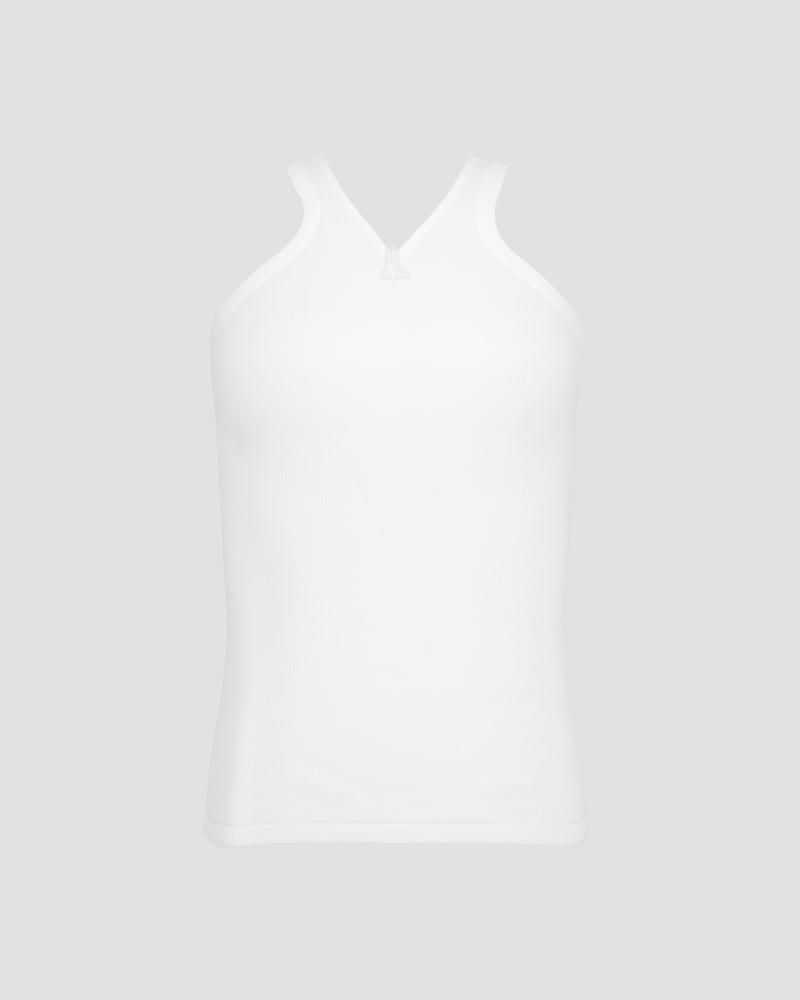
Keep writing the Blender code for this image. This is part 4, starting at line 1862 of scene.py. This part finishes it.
@dataclass(frozen=True)
class SoftLight:
    """A square soft light: its place, its side in metres, its power in watts and its spread in degrees."""

    name: str
    at: Triple
    size: float
    power: float
    spread: float

    def build(self, aim: Triple) -> None:
        """The light.

        Args:
            aim: the place that it faces.
        """
        data = bpy.data.lights.new(self.name, "AREA")
        data.shape = "SQUARE"
        data.size = self.size
        data.energy = self.power
        data.spread = np.radians(self.spread)
        light = bpy.data.objects.new(self.name, data)
        light.location = self.at
        light.rotation_euler = (Vector(self.at) - Vector(aim)).to_track_quat("Z", "Y").to_euler()
        bpy.context.scene.collection.objects.link(light)


@dataclass(frozen=True)
class Studio:
    """A plain pale floor and surround, soft light, and the camera."""

    surround: Triple = (0.7603, 0.7603, 0.7455)
    floor_level: float = -1.40
    floor_radius: float = 40.0
    floor_sides: int = 96
    floor_colour: Triple = (0.50, 0.50, 0.50)
    floor_glow: float = 0.50
    camera_at: Triple = (0.0034, -2.8, -0.290)
    view_height: float = 0.8455
    sensor: float = 36.0
    aim: Triple = (0.0, -0.05, -0.26)
    lights: tuple[SoftLight, ...] = (
        SoftLight("key", (0.15, -1.58, 0.14), 0.8, 1.62, 80.0),
        SoftLight("back_fill", (0.30, 2.2, 0.45), 1.4, 12.0, 180.0),
    )

    def build(self) -> None:
        """Floor, surround, lights and camera."""
        self.build_surround()
        self.build_floor()
        for light in self.lights:
            light.build(self.aim)
        self.build_camera()

    def build_surround(self) -> None:
        """An even pale surround, which also fills the shadows."""
        scene = bpy.context.scene
        world = bpy.data.worlds.new("studio")
        world.use_nodes = True
        background = world.node_tree.nodes["Background"]
        background.inputs["Color"].default_value = (*self.surround, 1.0)
        background.inputs["Strength"].default_value = 1.0
        scene.world = world
        scene.view_settings.view_transform = "Standard"
        scene.view_settings.look = "None"

    def build_floor(self) -> None:
        """A wide round floor below the garment."""
        bpy.ops.object.select_all(action="DESELECT")
        bpy.ops.mesh.primitive_circle_add(
            vertices=self.floor_sides,
            radius=self.floor_radius,
            fill_type="NGON",
            location=(0.0, 0.0, self.floor_level),
        )
        floor = bpy.context.object
        floor.name = "floor"
        bpy.ops.object.transform_apply(location=True, rotation=True, scale=True)
        n = Nodes("floor")
        n.shader.inputs["Base Color"].default_value = (*self.floor_colour, 1.0)
        n.shader.inputs["Roughness"].default_value = 1.0
        n.shader.inputs["Specular IOR Level"].default_value = 0.0
        n.shader.inputs["Emission Color"].default_value = (*self.surround, 1.0)
        n.shader.inputs["Emission Strength"].default_value = self.floor_glow
        floor.data.materials.append(n.material)

    def build_camera(self) -> None:
        """The camera, level, looking at the front."""
        data = bpy.data.cameras.new("camera")
        data.sensor_width = self.sensor
        data.lens = self.sensor * abs(self.camera_at[1]) / self.view_height
        camera = bpy.data.objects.new("camera", data)
        camera.location = self.camera_at
        camera.rotation_euler = (np.pi / 2, 0.0, 0.0)
        bpy.context.scene.collection.objects.link(camera)
        bpy.context.scene.camera = camera


def main() -> None:
    """Builds every piece in order and reports it."""
    logging.basicConfig(level=logging.INFO, format="%(message)s")
    Studio().build()
    cloth = ClothMap()
    lines = CutLines(cloth)
    finishes = Finishes(
        knit=RibKnit(cloth.half_panel, Panel.ribs).material(),
        binding=BindingKnit().material(),
        # A lit copy of the ribbon, and a darker copy whose colour is painted shade on the tails and the wrap.
        ribbon_lit=RibbonWeave("ribbon_lit", (0.905, 0.905, 0.912)).material(),
        ribbon_painted_shade=RibbonWeave("ribbon_painted_shade", (0.858, 0.858, 0.864)).material(),
        thread=SewingThread().material(),
    )
    front = Panel(cloth, lines, Side.FRONT, "front_knit", "front")
    back = Panel(cloth, lines, Side.BACK, "back_knit", "back")
    for panel in (front, back):
        panel.build(finishes.knit)
    NeckBinding(cloth, lines, "neck_binding_knit", "neck_binding", lines.neck_band).build(finishes.binding)
    for arm, hand in (("left", 1.0), ("right", -1.0)):
        name, node = f"armhole_binding_{arm}_knit", f"armhole_binding_{arm}"
        ArmholeBinding(cloth, lines, name, node, lines.armhole_band, hand=hand).build(finishes.binding)
    NeckRibbon(cloth, lines).build(finishes.ribbon_lit, finishes.ribbon_painted_shade)
    Sewing(cloth).build({Side.FRONT: front, Side.BACK: back}, finishes.thread)


if __name__ == "__main__":
    main()
